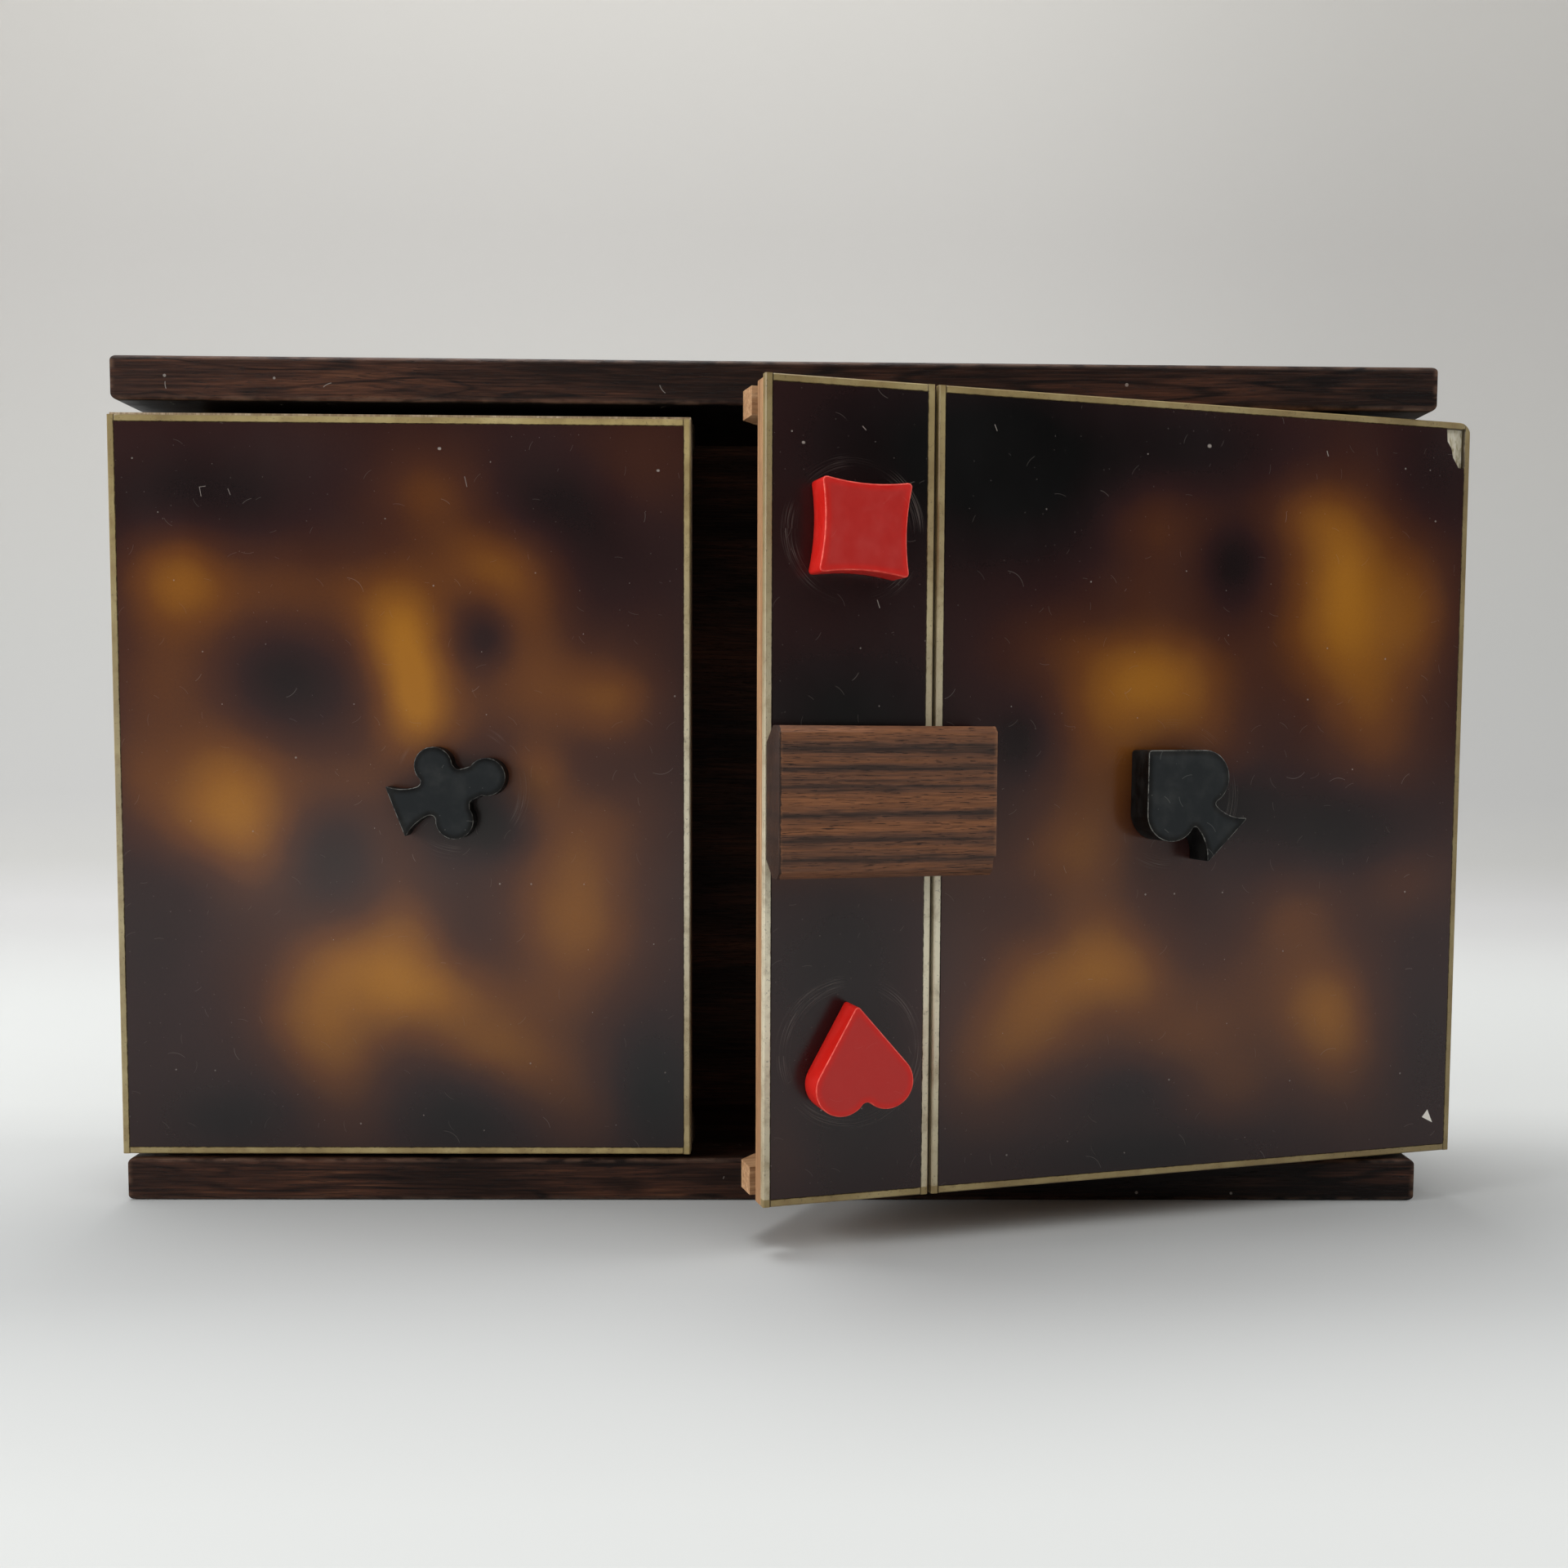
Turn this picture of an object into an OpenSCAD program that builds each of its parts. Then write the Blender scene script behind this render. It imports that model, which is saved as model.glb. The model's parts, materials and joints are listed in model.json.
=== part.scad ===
// Playing card box: two boards and a back panel, with two swing-out leaves
// that turn on brass pins. Each leaf is a door with a shelf at top and bottom
// and an end wall, so a pack of cards swings out with it.
// The origin is the middle of the underside, +Z is up, and the doors face -Y.
// Leaves are drawn closed on the right-hand side, then mirrored or turned.

/* [Case] */
// Length of the top and bottom boards
board_w = 174; // [165:0.5:200]
// Depth of the boards, front to back
board_d = 38; // [34:0.5:46]
// Thickness of the boards
board_t = 5.8; // [5:0.1:8]
// Height of the opening between the boards
opening_h = 100.4; // [99.5:0.1:112]
// Rounding of the boards' worn edges
board_round = 0.8; // [0.3:0.1:1.5]
// Thickness of the back panel
back_t = 4; // [3:0.1:5]
// Distance of the back panel from the boards' rear edges
back_inset = 1; // [0.5:0.1:3]
// Distance of the back panel's ends from the boards' ends
back_end_inset = 2; // [1.5:0.1:6]
// Depth of the grooves that hold the back panel
groove_depth = 2; // [1:0.1:3]

/* [Pivots] */
// Distance of the pivot pins from the boards' ends
pivot_inset = 7; // [6:0.1:9]
// Diameter of the pivot pins
pivot_dia = 2.5; // [1.6:0.1:3]
// Diameter of the pins' heads
pivot_head_dia = 4.4; // [4:0.1:6]
// Thickness of the pins' heads
pivot_head_t = 0.8; // [0.5:0.1:1.2]
// How far the heads sit below the boards' outer faces
pivot_head_sink = 0.3; // [0.1:0.1:0.6]
// How far the pins stop short of the shelves' inner faces
pivot_short = 0.4; // [0.2:0.1:1]
// Radial clearance of the pins in the shelves
pivot_clearance = 0.06; // [0.03:0.01:0.1]
// Thickness of the washers under the leaves
washer_t = 0.55; // [0.4:0.05:1]
// Outside diameter of the washers
washer_dia = 6; // [5:0.1:7]
// Play between washer and shelf
washer_play = 0.05; // [0.03:0.01:0.1]

/* [Leaves] */
// Width of the left leaf
left_w = 76.1; // [70:0.1:82]
// Gap between the two closed doors
door_gap = 0.8; // [0.5:0.1:2]
// How far the doors reach past the boards' ends
overhang = 0.6; // [0:0.1:2]
// Gap between the left door's upper edge and the top board
left_top_gap = 1.9; // [0.8:0.1:3]
// Gap between the right door's upper edge and the top board
right_top_gap = 1; // [0.8:0.1:3]
// Thickness of the doors' wooden cores
core_t = 2.3; // [2:0.1:3]
// Thickness of the facing on the cores
facing_t = 1; // [0.8:0.1:1.5]
// How far the left core stands above its facing
left_core_rise = 0.4; // [0:0.1:0.5]
// How far the right core stops below its facing
right_core_drop = 0.4; // [0:0.1:0.5]
// Thickness of the shelves
shelf_t = 3.5; // [3:0.1:4.5]
// Depth of the square part at the shelves' free ends
shelf_end = 6.6; // [5:0.1:9]
// Width of the notch next to the core at the shelves' free ends
notch_w = 2.7; // [2:0.1:3.5]
// Length of the notch along the shelf
notch_l = 2.5; // [1.5:0.1:5]
// Thickness of the leaves' end walls
side_t = 4; // [3:0.1:5]
// Distance of the end walls from the doors' outer edges
side_inset = 1.2; // [0.5:0.1:2]
// Depth of the housings that hold the shelves in the end walls
housing = 1; // [0.5:0.1:1.5]
// Clearance between a swinging leaf and the back panel
swing_clearance = 0.5; // [0.3:0.1:1]
// Angle that the right leaf stands open
right_open = 17; // [0:1:60]

/* [Facing] */
// Width of the pale stringing
strip_w = 0.95; // [0.7:0.05:1.5]
// Bevel along the front edges of the stringing
strip_bevel = 0.15; // [0.05:0.05:0.3]
// Width of the narrow framed panel, frame included
narrow_w = 21.2; // [20:0.1:28]
// Width of the groove between the two framed panels
split_w = 0.5; // [0.3:0.1:1]

/* [Turn-button] */
// Length of the turn-button
button_l = 27.3; // [24:0.1:32]
// Width of the turn-button's front
button_w = 17.9; // [14:0.1:22]
// Width of the turn-button where it meets the door
button_base_w = 14; // [10:0.1:16]
// Thickness of the turn-button
button_t = 5.4; // [4:0.1:8]
// Bevel along the turn-button's front edges
button_bevel = 0.8; // [0.3:0.1:1.2]
// Distance of the turn-button's end from the door's free edge
button_setback = 0.2; // [0:0.1:1]
// Diameter of the turn-button's screw
button_screw_dia = 2.4; // [2:0.1:3]

/* [Suit pieces] */
// Thickness of the diamond, the heart and the spade
suit_t = 4.4; // [3:0.1:6]
// Thickness of the club
club_t = 2.8; // [2.4:0.1:4]
// Distance of the diamond and the heart from the free edge
suit_inset = 11; // [10.6:0.1:12]
// Height of the diamond above the turn-button
diamond_rise = 32; // [29:0.5:35]
// Drop of the heart below the turn-button
heart_drop = 30.6; // [28:0.2:33]
// Distance of the spade from the free edge
spade_inset = 54.1; // [50:0.1:70]
// Distance of the club from the left door's outer edge
club_inset = 45.5; // [30:0.1:55]
// Height of the spade and the club above the turn-button
outer_rise = 0.4; // [-1:0.1:1]
// Side of the diamond, corner to corner along one edge
diamond_w = 11.3; // [9:0.1:12]
// How far the diamond's edges curve in
diamond_hollow = 0.6; // [0.2:0.1:1]
// Radius of the heart's lobes
heart_lobe = 3.3; // [2.8:0.1:3.8]
// Length of the heart from lobe centres to tip
heart_l = 9.8; // [8:0.1:10]
// Radius of the spade's lobes
spade_lobe = 3.5; // [3:0.1:4]
// Width of the spade's stem at its waist
spade_stem = 3.8; // [3:0.1:4.4]
// Width of the spade's foot
spade_foot = 8; // [6:0.1:9]
// Radius of the club's lobes
club_lobe = 2.5; // [2.2:0.1:3]
// Width of the club's stem at its waist
club_stem = 4; // [3:0.1:4.4]
// Width of the club's foot
club_foot = 7.2; // [6:0.1:8]
// Diameter of the suit pieces' screws
screw_dia = 1.8; // [1.4:0.1:2.2]
// Length of thread inside a suit piece
screw_grip = 1.6; // [1.2:0.1:1.8]
// Length of thread inside the turn-button
button_grip = 2.6; // [2:0.1:3]
// Room at the end of each screw's hole
screw_room = 0.1; // [0.1:0.1:0.3]
// Thickness of all the screw heads
head_t = 0.9; // [0.7:0.1:1.1]
// How much wider a screw's head is than its shank
head_extra = 2.2; // [1.6:0.1:3]
// How much wider a recess is than the head in it
head_room = 0.4; // [0.3:0.1:0.8]
// Radial clearance of the screws in the doors
screw_clearance = 0.06; // [0.03:0.01:0.1]
// Gap between turning pieces and the door
face_gap = 0.12; // [0.05:0.01:0.3]

/* [Rest angles] */
// Turn of the diamond
diamond_turn = -2; // [-180:1:180]
// Turn of the heart, which hangs tip up
heart_turn = 186; // [0:1:360]
// Turn of the spade
spade_turn = 45; // [-180:1:180]
// Turn of the club
club_turn = -69; // [-180:1:180]

/* [Hidden] */
$fn = 72;
arc_steps = 26;
stem_steps = 10;
end_x = board_w / 2;
front_y = -board_d / 2;
back_y = board_d / 2 - back_inset - back_t;
back_w = board_w - 2 * back_end_inset;
pivot_x = end_x - pivot_inset;
out_x = end_x + overhang;
right_w = board_w + 2 * overhang - left_w - door_gap;
leaf_z = board_t + washer_t + washer_play;
left_h = opening_h - washer_t - washer_play - left_top_gap;
right_h = opening_h - washer_t - washer_play - right_top_gap;
left_core_h = left_h + left_core_rise;
right_core_h = right_h - right_core_drop;
core_back_y = front_y + facing_t + core_t;
side_x = out_x - side_inset - side_t;
swing_r = back_y - swing_clearance;
middle_z = leaf_z + left_h / 2;
button_pivot = narrow_w / 2;
wide_w = right_w - narrow_w - split_w;
left_free_x = out_x - left_w;
free_x = out_x - right_w;
wide_x = free_x + narrow_w + split_w;
button_spot = [free_x + button_pivot, middle_z, button_screw_dia];
diamond_spot = [free_x + suit_inset, middle_z + diamond_rise, screw_dia];
heart_spot = [free_x + suit_inset, middle_z - heart_drop, screw_dia];
spade_spot = [free_x + spade_inset, middle_z + outer_rise, screw_dia];
club_spot = [out_x - club_inset, middle_z + outer_rise, screw_dia];
narrow_spots = [button_spot, diamond_spot, heart_spot];
rosewood = [0.25, 0.16, 0.13];
button_wood = [0.42, 0.27, 0.18];
limewood = [0.80, 0.66, 0.47];
tortoiseshell = [0.30, 0.14, 0.05];
cream = [0.83, 0.78, 0.63];
brass = [0.76, 0.60, 0.28];
red = [0.76, 0.13, 0.13];
black = [0.11, 0.12, 0.13];

// Places

module on_left() {
    mirror([1, 0, 0]) children();
}

module on_right() {
    translate([pivot_x, 0, 0]) rotate([0, 0, right_open]) translate([-pivot_x, 0, 0]) children();
}

// A spot on a door's front, [x, z, hole diameter], with +Z pointing out of the door and +Y up
module at_spot(spot) {
    translate([spot[0], front_y, spot[1]]) rotate([90, 0, 0]) children();
}

// Boards and back panel

module rounded_rect(a, b, r) {
    square([a - 2 * r, b], center = true);
    square([a, b - 2 * r], center = true);
    for (x = [-1, 1], y = [-1, 1])
        translate([x * (a / 2 - r), y * (b / 2 - r)]) circle(r = r);
}

module board_blank() {
    intersection() {
        rotate([90, 0, 90]) linear_extrude(height = board_w + 2, center = true)
            rounded_rect(board_d, board_t, board_round);
        rotate([90, 0, 0]) linear_extrude(height = board_d + 2, center = true)
            rounded_rect(board_w, board_t, board_round);
    }
}

// The top board; the bottom board is the same one turned over
module board() {
    difference() {
        translate([0, 0, board_t / 2]) board_blank();
        translate([-back_w / 2, back_y, -1]) cube([back_w, back_t, groove_depth + 1]);
        for (side = [-1, 1]) translate([side * pivot_x, 0, 0]) {
            translate([0, 0, -1]) cylinder(d = pivot_dia, h = board_t + 2);
            translate([0, 0, board_t - pivot_head_t - pivot_head_sink])
                cylinder(d = pivot_head_dia, h = board_t);
        }
    }
}

module at_top() {
    translate([0, 0, board_t + opening_h]) children();
}

module at_bottom() {
    translate([0, 0, board_t]) mirror([0, 0, 1]) children();
}

module back_panel() {
    color(rosewood) translate([-back_w / 2, back_y, board_t - groove_depth])
        cube([back_w, back_t, opening_h + 2 * groove_depth]);
}

// A pivot pin hanging from the board's inner face by reach
module pivot_pin(reach) {
    color(brass) translate([pivot_x, 0, 0]) {
        translate([0, 0, -reach]) cylinder(d = pivot_dia, h = reach + board_t - pivot_head_sink);
        translate([0, 0, board_t - pivot_head_sink - pivot_head_t])
            cylinder(d = pivot_head_dia, h = pivot_head_t);
    }
}

module top_pivot(leaf_h) {
    at_top() pivot_pin(board_t + opening_h - leaf_z - leaf_h + shelf_t - pivot_short);
}

module bottom_pivot() {
    at_bottom() pivot_pin(leaf_z - board_t + shelf_t - pivot_short);
}

module washer() {
    color(brass) translate([pivot_x, 0, board_t]) difference() {
        cylinder(d = washer_dia, h = washer_t);
        translate([0, 0, -1]) cylinder(d = pivot_dia + 2 * pivot_clearance, h = washer_t + 2);
    }
}

// Leaves

// Keeps what clears the back panel while the leaf swings
module swing_outline() {
    translate([pivot_x, 0]) circle(r = swing_r, $fn = 144);
    translate([pivot_x - board_w, front_y]) square([board_w, swing_r - front_y]);
    translate([pivot_x, front_y]) square([out_x - pivot_x, -front_y]);
}

module shelf_outline(w) {
    free_x = out_x - w;
    cut = swing_r - core_back_y - shelf_end;
    intersection() {
        polygon([
            [side_x + housing, core_back_y],
            [free_x + notch_l, core_back_y],
            [free_x + notch_l, core_back_y + notch_w],
            [free_x, core_back_y + notch_w],
            [free_x, core_back_y + shelf_end],
            [free_x + cut, swing_r],
            [side_x + housing, swing_r]]);
        swing_outline();
    }
}

module shelf(w, z) {
    color(limewood) translate([0, 0, z]) difference() {
        linear_extrude(height = shelf_t) shelf_outline(w);
        translate([pivot_x, 0, -1]) cylinder(d = pivot_dia + 2 * pivot_clearance, h = shelf_t + 2);
    }
}

module end_wall(h) {
    color(rosewood) difference() {
        translate([0, 0, leaf_z]) linear_extrude(height = h) intersection() {
            translate([side_x, core_back_y]) square([side_t, swing_r - core_back_y]);
            swing_outline();
        }
        for (z = [leaf_z - 1, leaf_z + h - shelf_t])
            translate([side_x - 1, core_back_y - 1, z])
                cube([housing + 1, swing_r - core_back_y + 2, shelf_t + 1]);
    }
}

// A core with screw holes, each [x, z, shank diameter]
module core(w, h, holes) {
    color(limewood) difference() {
        translate([out_x - w, front_y + facing_t, leaf_z]) cube([w, core_t, h]);
        for (spot = holes) at_spot(spot) {
            screw_hole(spot[2]);
            translate([0, 0, -facing_t - core_t - 1])
                cylinder(d = spot[2] + head_extra + head_room, h = head_t + face_gap + 1);
        }
    }
}

module screw_hole(dia) {
    translate([0, 0, -facing_t - core_t - 1])
        cylinder(d = dia + 2 * screw_clearance, h = facing_t + core_t + 2);
}

// The sheet inside a frame of stringing; x is the frame's left edge
module sheet(x, w, h, holes) {
    color(tortoiseshell) difference() {
        translate([x + strip_w, front_y, leaf_z + strip_w])
            cube([w - 2 * strip_w, facing_t, h - 2 * strip_w]);
        for (spot = holes) at_spot(spot) screw_hole(spot[2]);
    }
}

// The cross-section of a strip, from [0, 0] at its back left to its front
module strip_section() {
    polygon([[0, 0], [strip_w, 0], [strip_w, facing_t - strip_bevel],
        [strip_w - strip_bevel, facing_t], [strip_bevel, facing_t], [0, facing_t - strip_bevel]]);
}

module upright_strip(x, h) {
    color(cream) translate([x, front_y + facing_t, leaf_z]) mirror([0, 1, 0])
        linear_extrude(height = h) strip_section();
}

module level_strip(x, w, top_z) {
    color(cream) translate([x + strip_w, front_y + facing_t, top_z]) rotate([0, 90, 0])
        mirror([0, 1, 0]) linear_extrude(height = w - 2 * strip_w) strip_section();
}

// Turn-button and suit pieces, drawn on a door with +Y up and +Z outwards

// A screw from the core's back into the piece that it carries
module screw(dia, grip) {
    head_z = -facing_t - core_t;
    color(brass) {
        translate([0, 0, head_z]) cylinder(d = dia + head_extra, h = head_t);
        translate([0, 0, head_z]) cylinder(d = dia, h = -head_z + face_gap + grip);
    }
}

// A flat piece of the given thickness with a blind hole for its screw
module turning_piece(thickness) {
    translate([0, 0, face_gap]) difference() {
        linear_extrude(height = thickness) children();
        translate([0, 0, -1]) cylinder(d = screw_dia, h = screw_grip + screw_room + 1);
    }
}

module diamond_outline() {
    bow = (diamond_w * diamond_w / 4 + diamond_hollow * diamond_hollow) / (2 * diamond_hollow);
    difference() {
        square(diamond_w, center = true);
        for (a = [0 : 90 : 270]) rotate(a)
            translate([diamond_w / 2 - diamond_hollow + bow, 0]) circle(r = bow, $fn = 360);
    }
}

// Points on an arc, from one angle to another
function arc(centre, r, start, stop) = [for (i = [0 : arc_steps])
    let (a = start + (stop - start) * i / arc_steps) centre + r * [cos(a), sin(a)]];

// Right side of a stem that flares from a waist at its top to a wide foot
function stem_side(top, bottom, waist, foot) = let (
    drop = top - bottom,
    flare = foot - waist,
    bow = (drop * drop + flare * flare) / (2 * flare))
    [for (i = [0 : stem_steps]) let (d = drop * i / stem_steps)
        [waist + bow - sqrt(bow * bow - d * d), top - d]];

module mirrored(half) {
    polygon(concat(half, [for (i = [len(half) - 1 : -1 : 0]) [-half[i][0], half[i][1]]]));
}

// Two lobes side by side, and a tip whose edges run tangent to them
module lobes_to_tip(lobe, spread, tip) {
    reach = sqrt(tip * tip + spread * spread);
    lean = atan2(spread, tip) + asin(lobe / reach);
    mirrored(concat([[0, tip]], arc([spread, 0], lobe, lean, acos(spread / lobe) - 180)));
}

module heart_outline() {
    translate([0, heart_l / 3]) rotate(180) lobes_to_tip(heart_lobe, heart_lobe * 0.87, heart_l);
}

module spade_outline() {
    lobes_to_tip(spade_lobe, spade_lobe * 0.91, spade_lobe * 2.3);
    mirrored(concat([[spade_stem / 2, 0]],
        stem_side(-spade_lobe, -spade_lobe * 2.3, spade_stem / 2, spade_foot / 2)));
}

// Three lobes on a stem: the right half clockwise from the top, then the left
module club_outline() {
    notch = club_lobe * [0.88, 0.44];
    mirrored(concat(
        arc(club_lobe * [0, 1.73], club_lobe, 90, -35),
        [notch],
        arc(club_lobe * [1.53, -0.66], club_lobe, 105, -120),
        stem_side(-club_lobe * 1.72, -club_lobe * 3.4, club_stem / 2, club_foot / 2)));
}

module button_body() {
    slant = (button_w - button_base_w) / 2;
    difference() {
        translate([button_setback - button_pivot, 0, face_gap]) rotate([90, 0, 90])
            linear_extrude(height = button_l) polygon([
                [-button_base_w / 2, 0], [button_base_w / 2, 0],
                [button_w / 2, button_t - button_bevel - slant],
                [button_w / 2, button_t - button_bevel],
                [button_w / 2 - button_bevel, button_t],
                [-button_w / 2 + button_bevel, button_t],
                [-button_w / 2, button_t - button_bevel],
                [-button_w / 2, button_t - button_bevel - slant]]);
        cylinder(d = button_screw_dia, h = face_gap + button_grip + screw_room);
    }
}

// Nodes

module top_board() { color(rosewood) at_top() board(); }
module bottom_board() { color(rosewood) at_bottom() board(); }
module left_top_pivot() { on_left() top_pivot(left_core_h); }
module left_bottom_pivot() { on_left() bottom_pivot(); }
module right_top_pivot() { top_pivot(right_core_h); }
module right_bottom_pivot() { bottom_pivot(); }
module left_washer() { on_left() washer(); }
module right_washer() { washer(); }

module left_core() { on_left() core(left_w, left_core_h, [club_spot]); }
module left_tortoiseshell() { on_left() sheet(left_free_x, left_w, left_h, [club_spot]); }
module left_outer_strip() { on_left() upright_strip(out_x - strip_w, left_h); }
module left_inner_strip() { on_left() upright_strip(left_free_x, left_h); }
module left_top_strip() { on_left() level_strip(left_free_x, left_w, leaf_z + left_h); }
module left_bottom_strip() { on_left() level_strip(left_free_x, left_w, leaf_z + strip_w); }
module left_top_shelf() { on_left() shelf(left_w, leaf_z + left_core_h - shelf_t); }
module left_bottom_shelf() { on_left() shelf(left_w, leaf_z); }
module left_end_wall() { on_left() end_wall(left_core_h); }

module right_core() { on_right() core(right_w, right_core_h, concat(narrow_spots, [spade_spot])); }
module narrow_tortoiseshell() { on_right() sheet(free_x, narrow_w, right_h, narrow_spots); }
module wide_tortoiseshell() { on_right() sheet(wide_x, wide_w, right_h, [spade_spot]); }
module narrow_free_strip() { on_right() upright_strip(free_x, right_h); }
module narrow_inner_strip() { on_right() upright_strip(free_x + narrow_w - strip_w, right_h); }
module narrow_top_strip() { on_right() level_strip(free_x, narrow_w, leaf_z + right_h); }
module narrow_bottom_strip() { on_right() level_strip(free_x, narrow_w, leaf_z + strip_w); }
module wide_inner_strip() { on_right() upright_strip(wide_x, right_h); }
module wide_outer_strip() { on_right() upright_strip(out_x - strip_w, right_h); }
module wide_top_strip() { on_right() level_strip(wide_x, wide_w, leaf_z + right_h); }
module wide_bottom_strip() { on_right() level_strip(wide_x, wide_w, leaf_z + strip_w); }
module right_top_shelf() { on_right() shelf(right_w, leaf_z + right_core_h - shelf_t); }
module right_bottom_shelf() { on_right() shelf(right_w, leaf_z); }
module right_end_wall() { on_right() end_wall(right_core_h); }

module turn_button() { color(button_wood) on_right() at_spot(button_spot) button_body(); }
module turn_button_screw() { on_right() at_spot(button_spot) screw(button_screw_dia, button_grip); }
module club() {
    color(black) on_left() at_spot(club_spot) mirror([1, 0, 0])
        rotate(club_turn) turning_piece(club_t) club_outline();
}
module club_screw() { on_left() at_spot(club_spot) screw(screw_dia, screw_grip); }
module diamond() {
    color(red) on_right() at_spot(diamond_spot) rotate(diamond_turn)
        turning_piece(suit_t) diamond_outline();
}
module diamond_screw() { on_right() at_spot(diamond_spot) screw(screw_dia, screw_grip); }
module heart() {
    color(red) on_right() at_spot(heart_spot) rotate(heart_turn)
        turning_piece(suit_t) heart_outline();
}
module heart_screw() { on_right() at_spot(heart_spot) screw(screw_dia, screw_grip); }
module spade() {
    color(black) on_right() at_spot(spade_spot) rotate(spade_turn)
        turning_piece(suit_t) spade_outline();
}
module spade_screw() { on_right() at_spot(spade_spot) screw(screw_dia, screw_grip); }

top_board();
bottom_board();
back_panel();
left_top_pivot();
left_bottom_pivot();
right_top_pivot();
right_bottom_pivot();
left_washer();
right_washer();
left_core();
left_tortoiseshell();
left_outer_strip();
left_inner_strip();
left_top_strip();
left_bottom_strip();
left_top_shelf();
left_bottom_shelf();
left_end_wall();
right_core();
narrow_tortoiseshell();
wide_tortoiseshell();
narrow_free_strip();
narrow_inner_strip();
narrow_top_strip();
narrow_bottom_strip();
wide_inner_strip();
wide_outer_strip();
wide_top_strip();
wide_bottom_strip();
right_top_shelf();
right_bottom_shelf();
right_end_wall();
turn_button();
turn_button_screw();
club();
club_screw();
diamond();
diamond_screw();
heart();
heart_screw();
spade();
spade_screw();
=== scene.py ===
import json
import math

import bmesh
import bpy
from mathutils import Matrix, Vector
from mathutils.geometry import delaunay_2d_cdt, intersect_point_line


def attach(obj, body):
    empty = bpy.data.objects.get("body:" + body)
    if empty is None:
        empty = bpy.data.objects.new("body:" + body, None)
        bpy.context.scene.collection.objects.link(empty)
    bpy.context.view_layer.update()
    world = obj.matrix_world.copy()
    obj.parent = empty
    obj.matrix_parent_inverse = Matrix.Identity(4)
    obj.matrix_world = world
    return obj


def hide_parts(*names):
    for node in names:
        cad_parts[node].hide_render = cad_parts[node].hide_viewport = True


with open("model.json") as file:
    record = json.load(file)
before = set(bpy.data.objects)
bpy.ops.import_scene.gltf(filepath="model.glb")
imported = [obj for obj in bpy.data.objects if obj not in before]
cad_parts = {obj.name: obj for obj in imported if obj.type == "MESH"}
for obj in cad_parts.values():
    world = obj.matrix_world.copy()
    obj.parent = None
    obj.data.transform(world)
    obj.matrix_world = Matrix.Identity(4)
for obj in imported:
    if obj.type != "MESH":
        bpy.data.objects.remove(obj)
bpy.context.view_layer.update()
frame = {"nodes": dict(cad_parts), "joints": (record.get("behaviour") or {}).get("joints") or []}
nodes = frame["nodes"]
mm = 0.001

# The right leaf rests open; patterns on it are laid out with the leaf closed
leafJoints = {joint["name"]: joint for joint in frame["joints"]}
rightPivot = Vector(leafJoints["right_leaf_hinge"]["pos_m"]) * Vector((1, 1, 0))
rightOpen = -math.radians(leafJoints["right_leaf_hinge"]["range_deg"][0])


def turnRight(angle):  # turns the right leaf about its pins
    return Matrix.Translation(rightPivot) @ Matrix.Rotation(angle, 4, "Z") @ Matrix.Translation(-rightPivot)


openRight = turnRight(rightOpen)
shutRight = turnRight(-rightOpen)


# Small helpers for shader nodes; lengths inside materials are millimetres

def colour(red, green, blue):
    def linear(value):
        value /= 255
        return value / 12.92 if value <= 0.04045 else ((value + 0.055) / 1.055) ** 2.4
    return (linear(red), linear(green), linear(blue), 1.0)


def addNode(kind, inputs, output=0, tree=None, **settings):  # goes into the tree of its first linked input
    tree = tree or next(value.id_data for value in inputs.values() if isinstance(value, bpy.types.NodeSocket))
    made = tree.nodes.new("ShaderNode" + kind)
    for name, value in settings.items():
        setattr(made, name, value)
    for key, value in inputs.items():
        if isinstance(value, bpy.types.NodeSocket):
            tree.links.new(value, made.inputs[key])
        else:
            made.inputs[key].default_value = value
    return made.outputs[output]


def calc(operation, *values):
    return addNode("Math", dict(enumerate(values)), operation=operation)


def times(first, second):
    return calc("MULTIPLY", first, second)


def plus(first, second):
    return calc("ADD", first, second)


def minus(first, second):
    return calc("SUBTRACT", first, second)


def vectorCalc(operation, *values, output=0):
    return addNode("VectorMath", dict(enumerate(values)), output, operation=operation)


def spread(value, low, high, toLow=0.0, toHigh=1.0):  # smooth step from low to high
    inputs = {0: value, 1: low, 2: high, 3: toLow, 4: toHigh}
    return addNode("MapRange", inputs, interpolation_type="SMOOTHSTEP")


def blend(amount, below, above, mode="MIX"):
    return addNode("Mix", {0: amount, 6: below, 7: above}, 2, data_type="RGBA", blend_type=mode)


def grey(level):
    return (level, level, level, 1)


def ramp(value, stops):
    made = addNode("ValToRGB", {0: value})
    elements = made.node.color_ramp.elements
    while len(elements) < len(stops):
        elements.new(0.5)
    for element, (position, tone) in zip(elements, stops):
        element.position = position
        element.color = tone
    return made


def noiseAt(place, sizes, detail=2.0, rough=0.5, bend=0.0, shift=(0, 0, 0)):  # sizes in millimetres
    scale = (1 / sizes,) * 3 if isinstance(sizes, (int, float)) else tuple(1 / size for size in sizes)
    vector = addNode("Mapping", {0: place, 1: shift, 3: scale})
    return addNode("TexNoise", {"Vector": vector, "Scale": 1.0, "Detail": detail, "Roughness": rough,
                                "Distortion": bend})


def parts(vector):
    return tuple(addNode("SeparateXYZ", {0: vector}).node.outputs)


def joined(x=0.0, y=0.0, z=0.0):
    return addNode("CombineXYZ", {0: x, 1: y, 2: z})


def square(value):
    return times(value, value)


def bell(squared, steepness=1.0):  # 1 where the squared distance is 0, and falls off around it
    return calc("EXPONENT", times(squared, -steepness))


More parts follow.
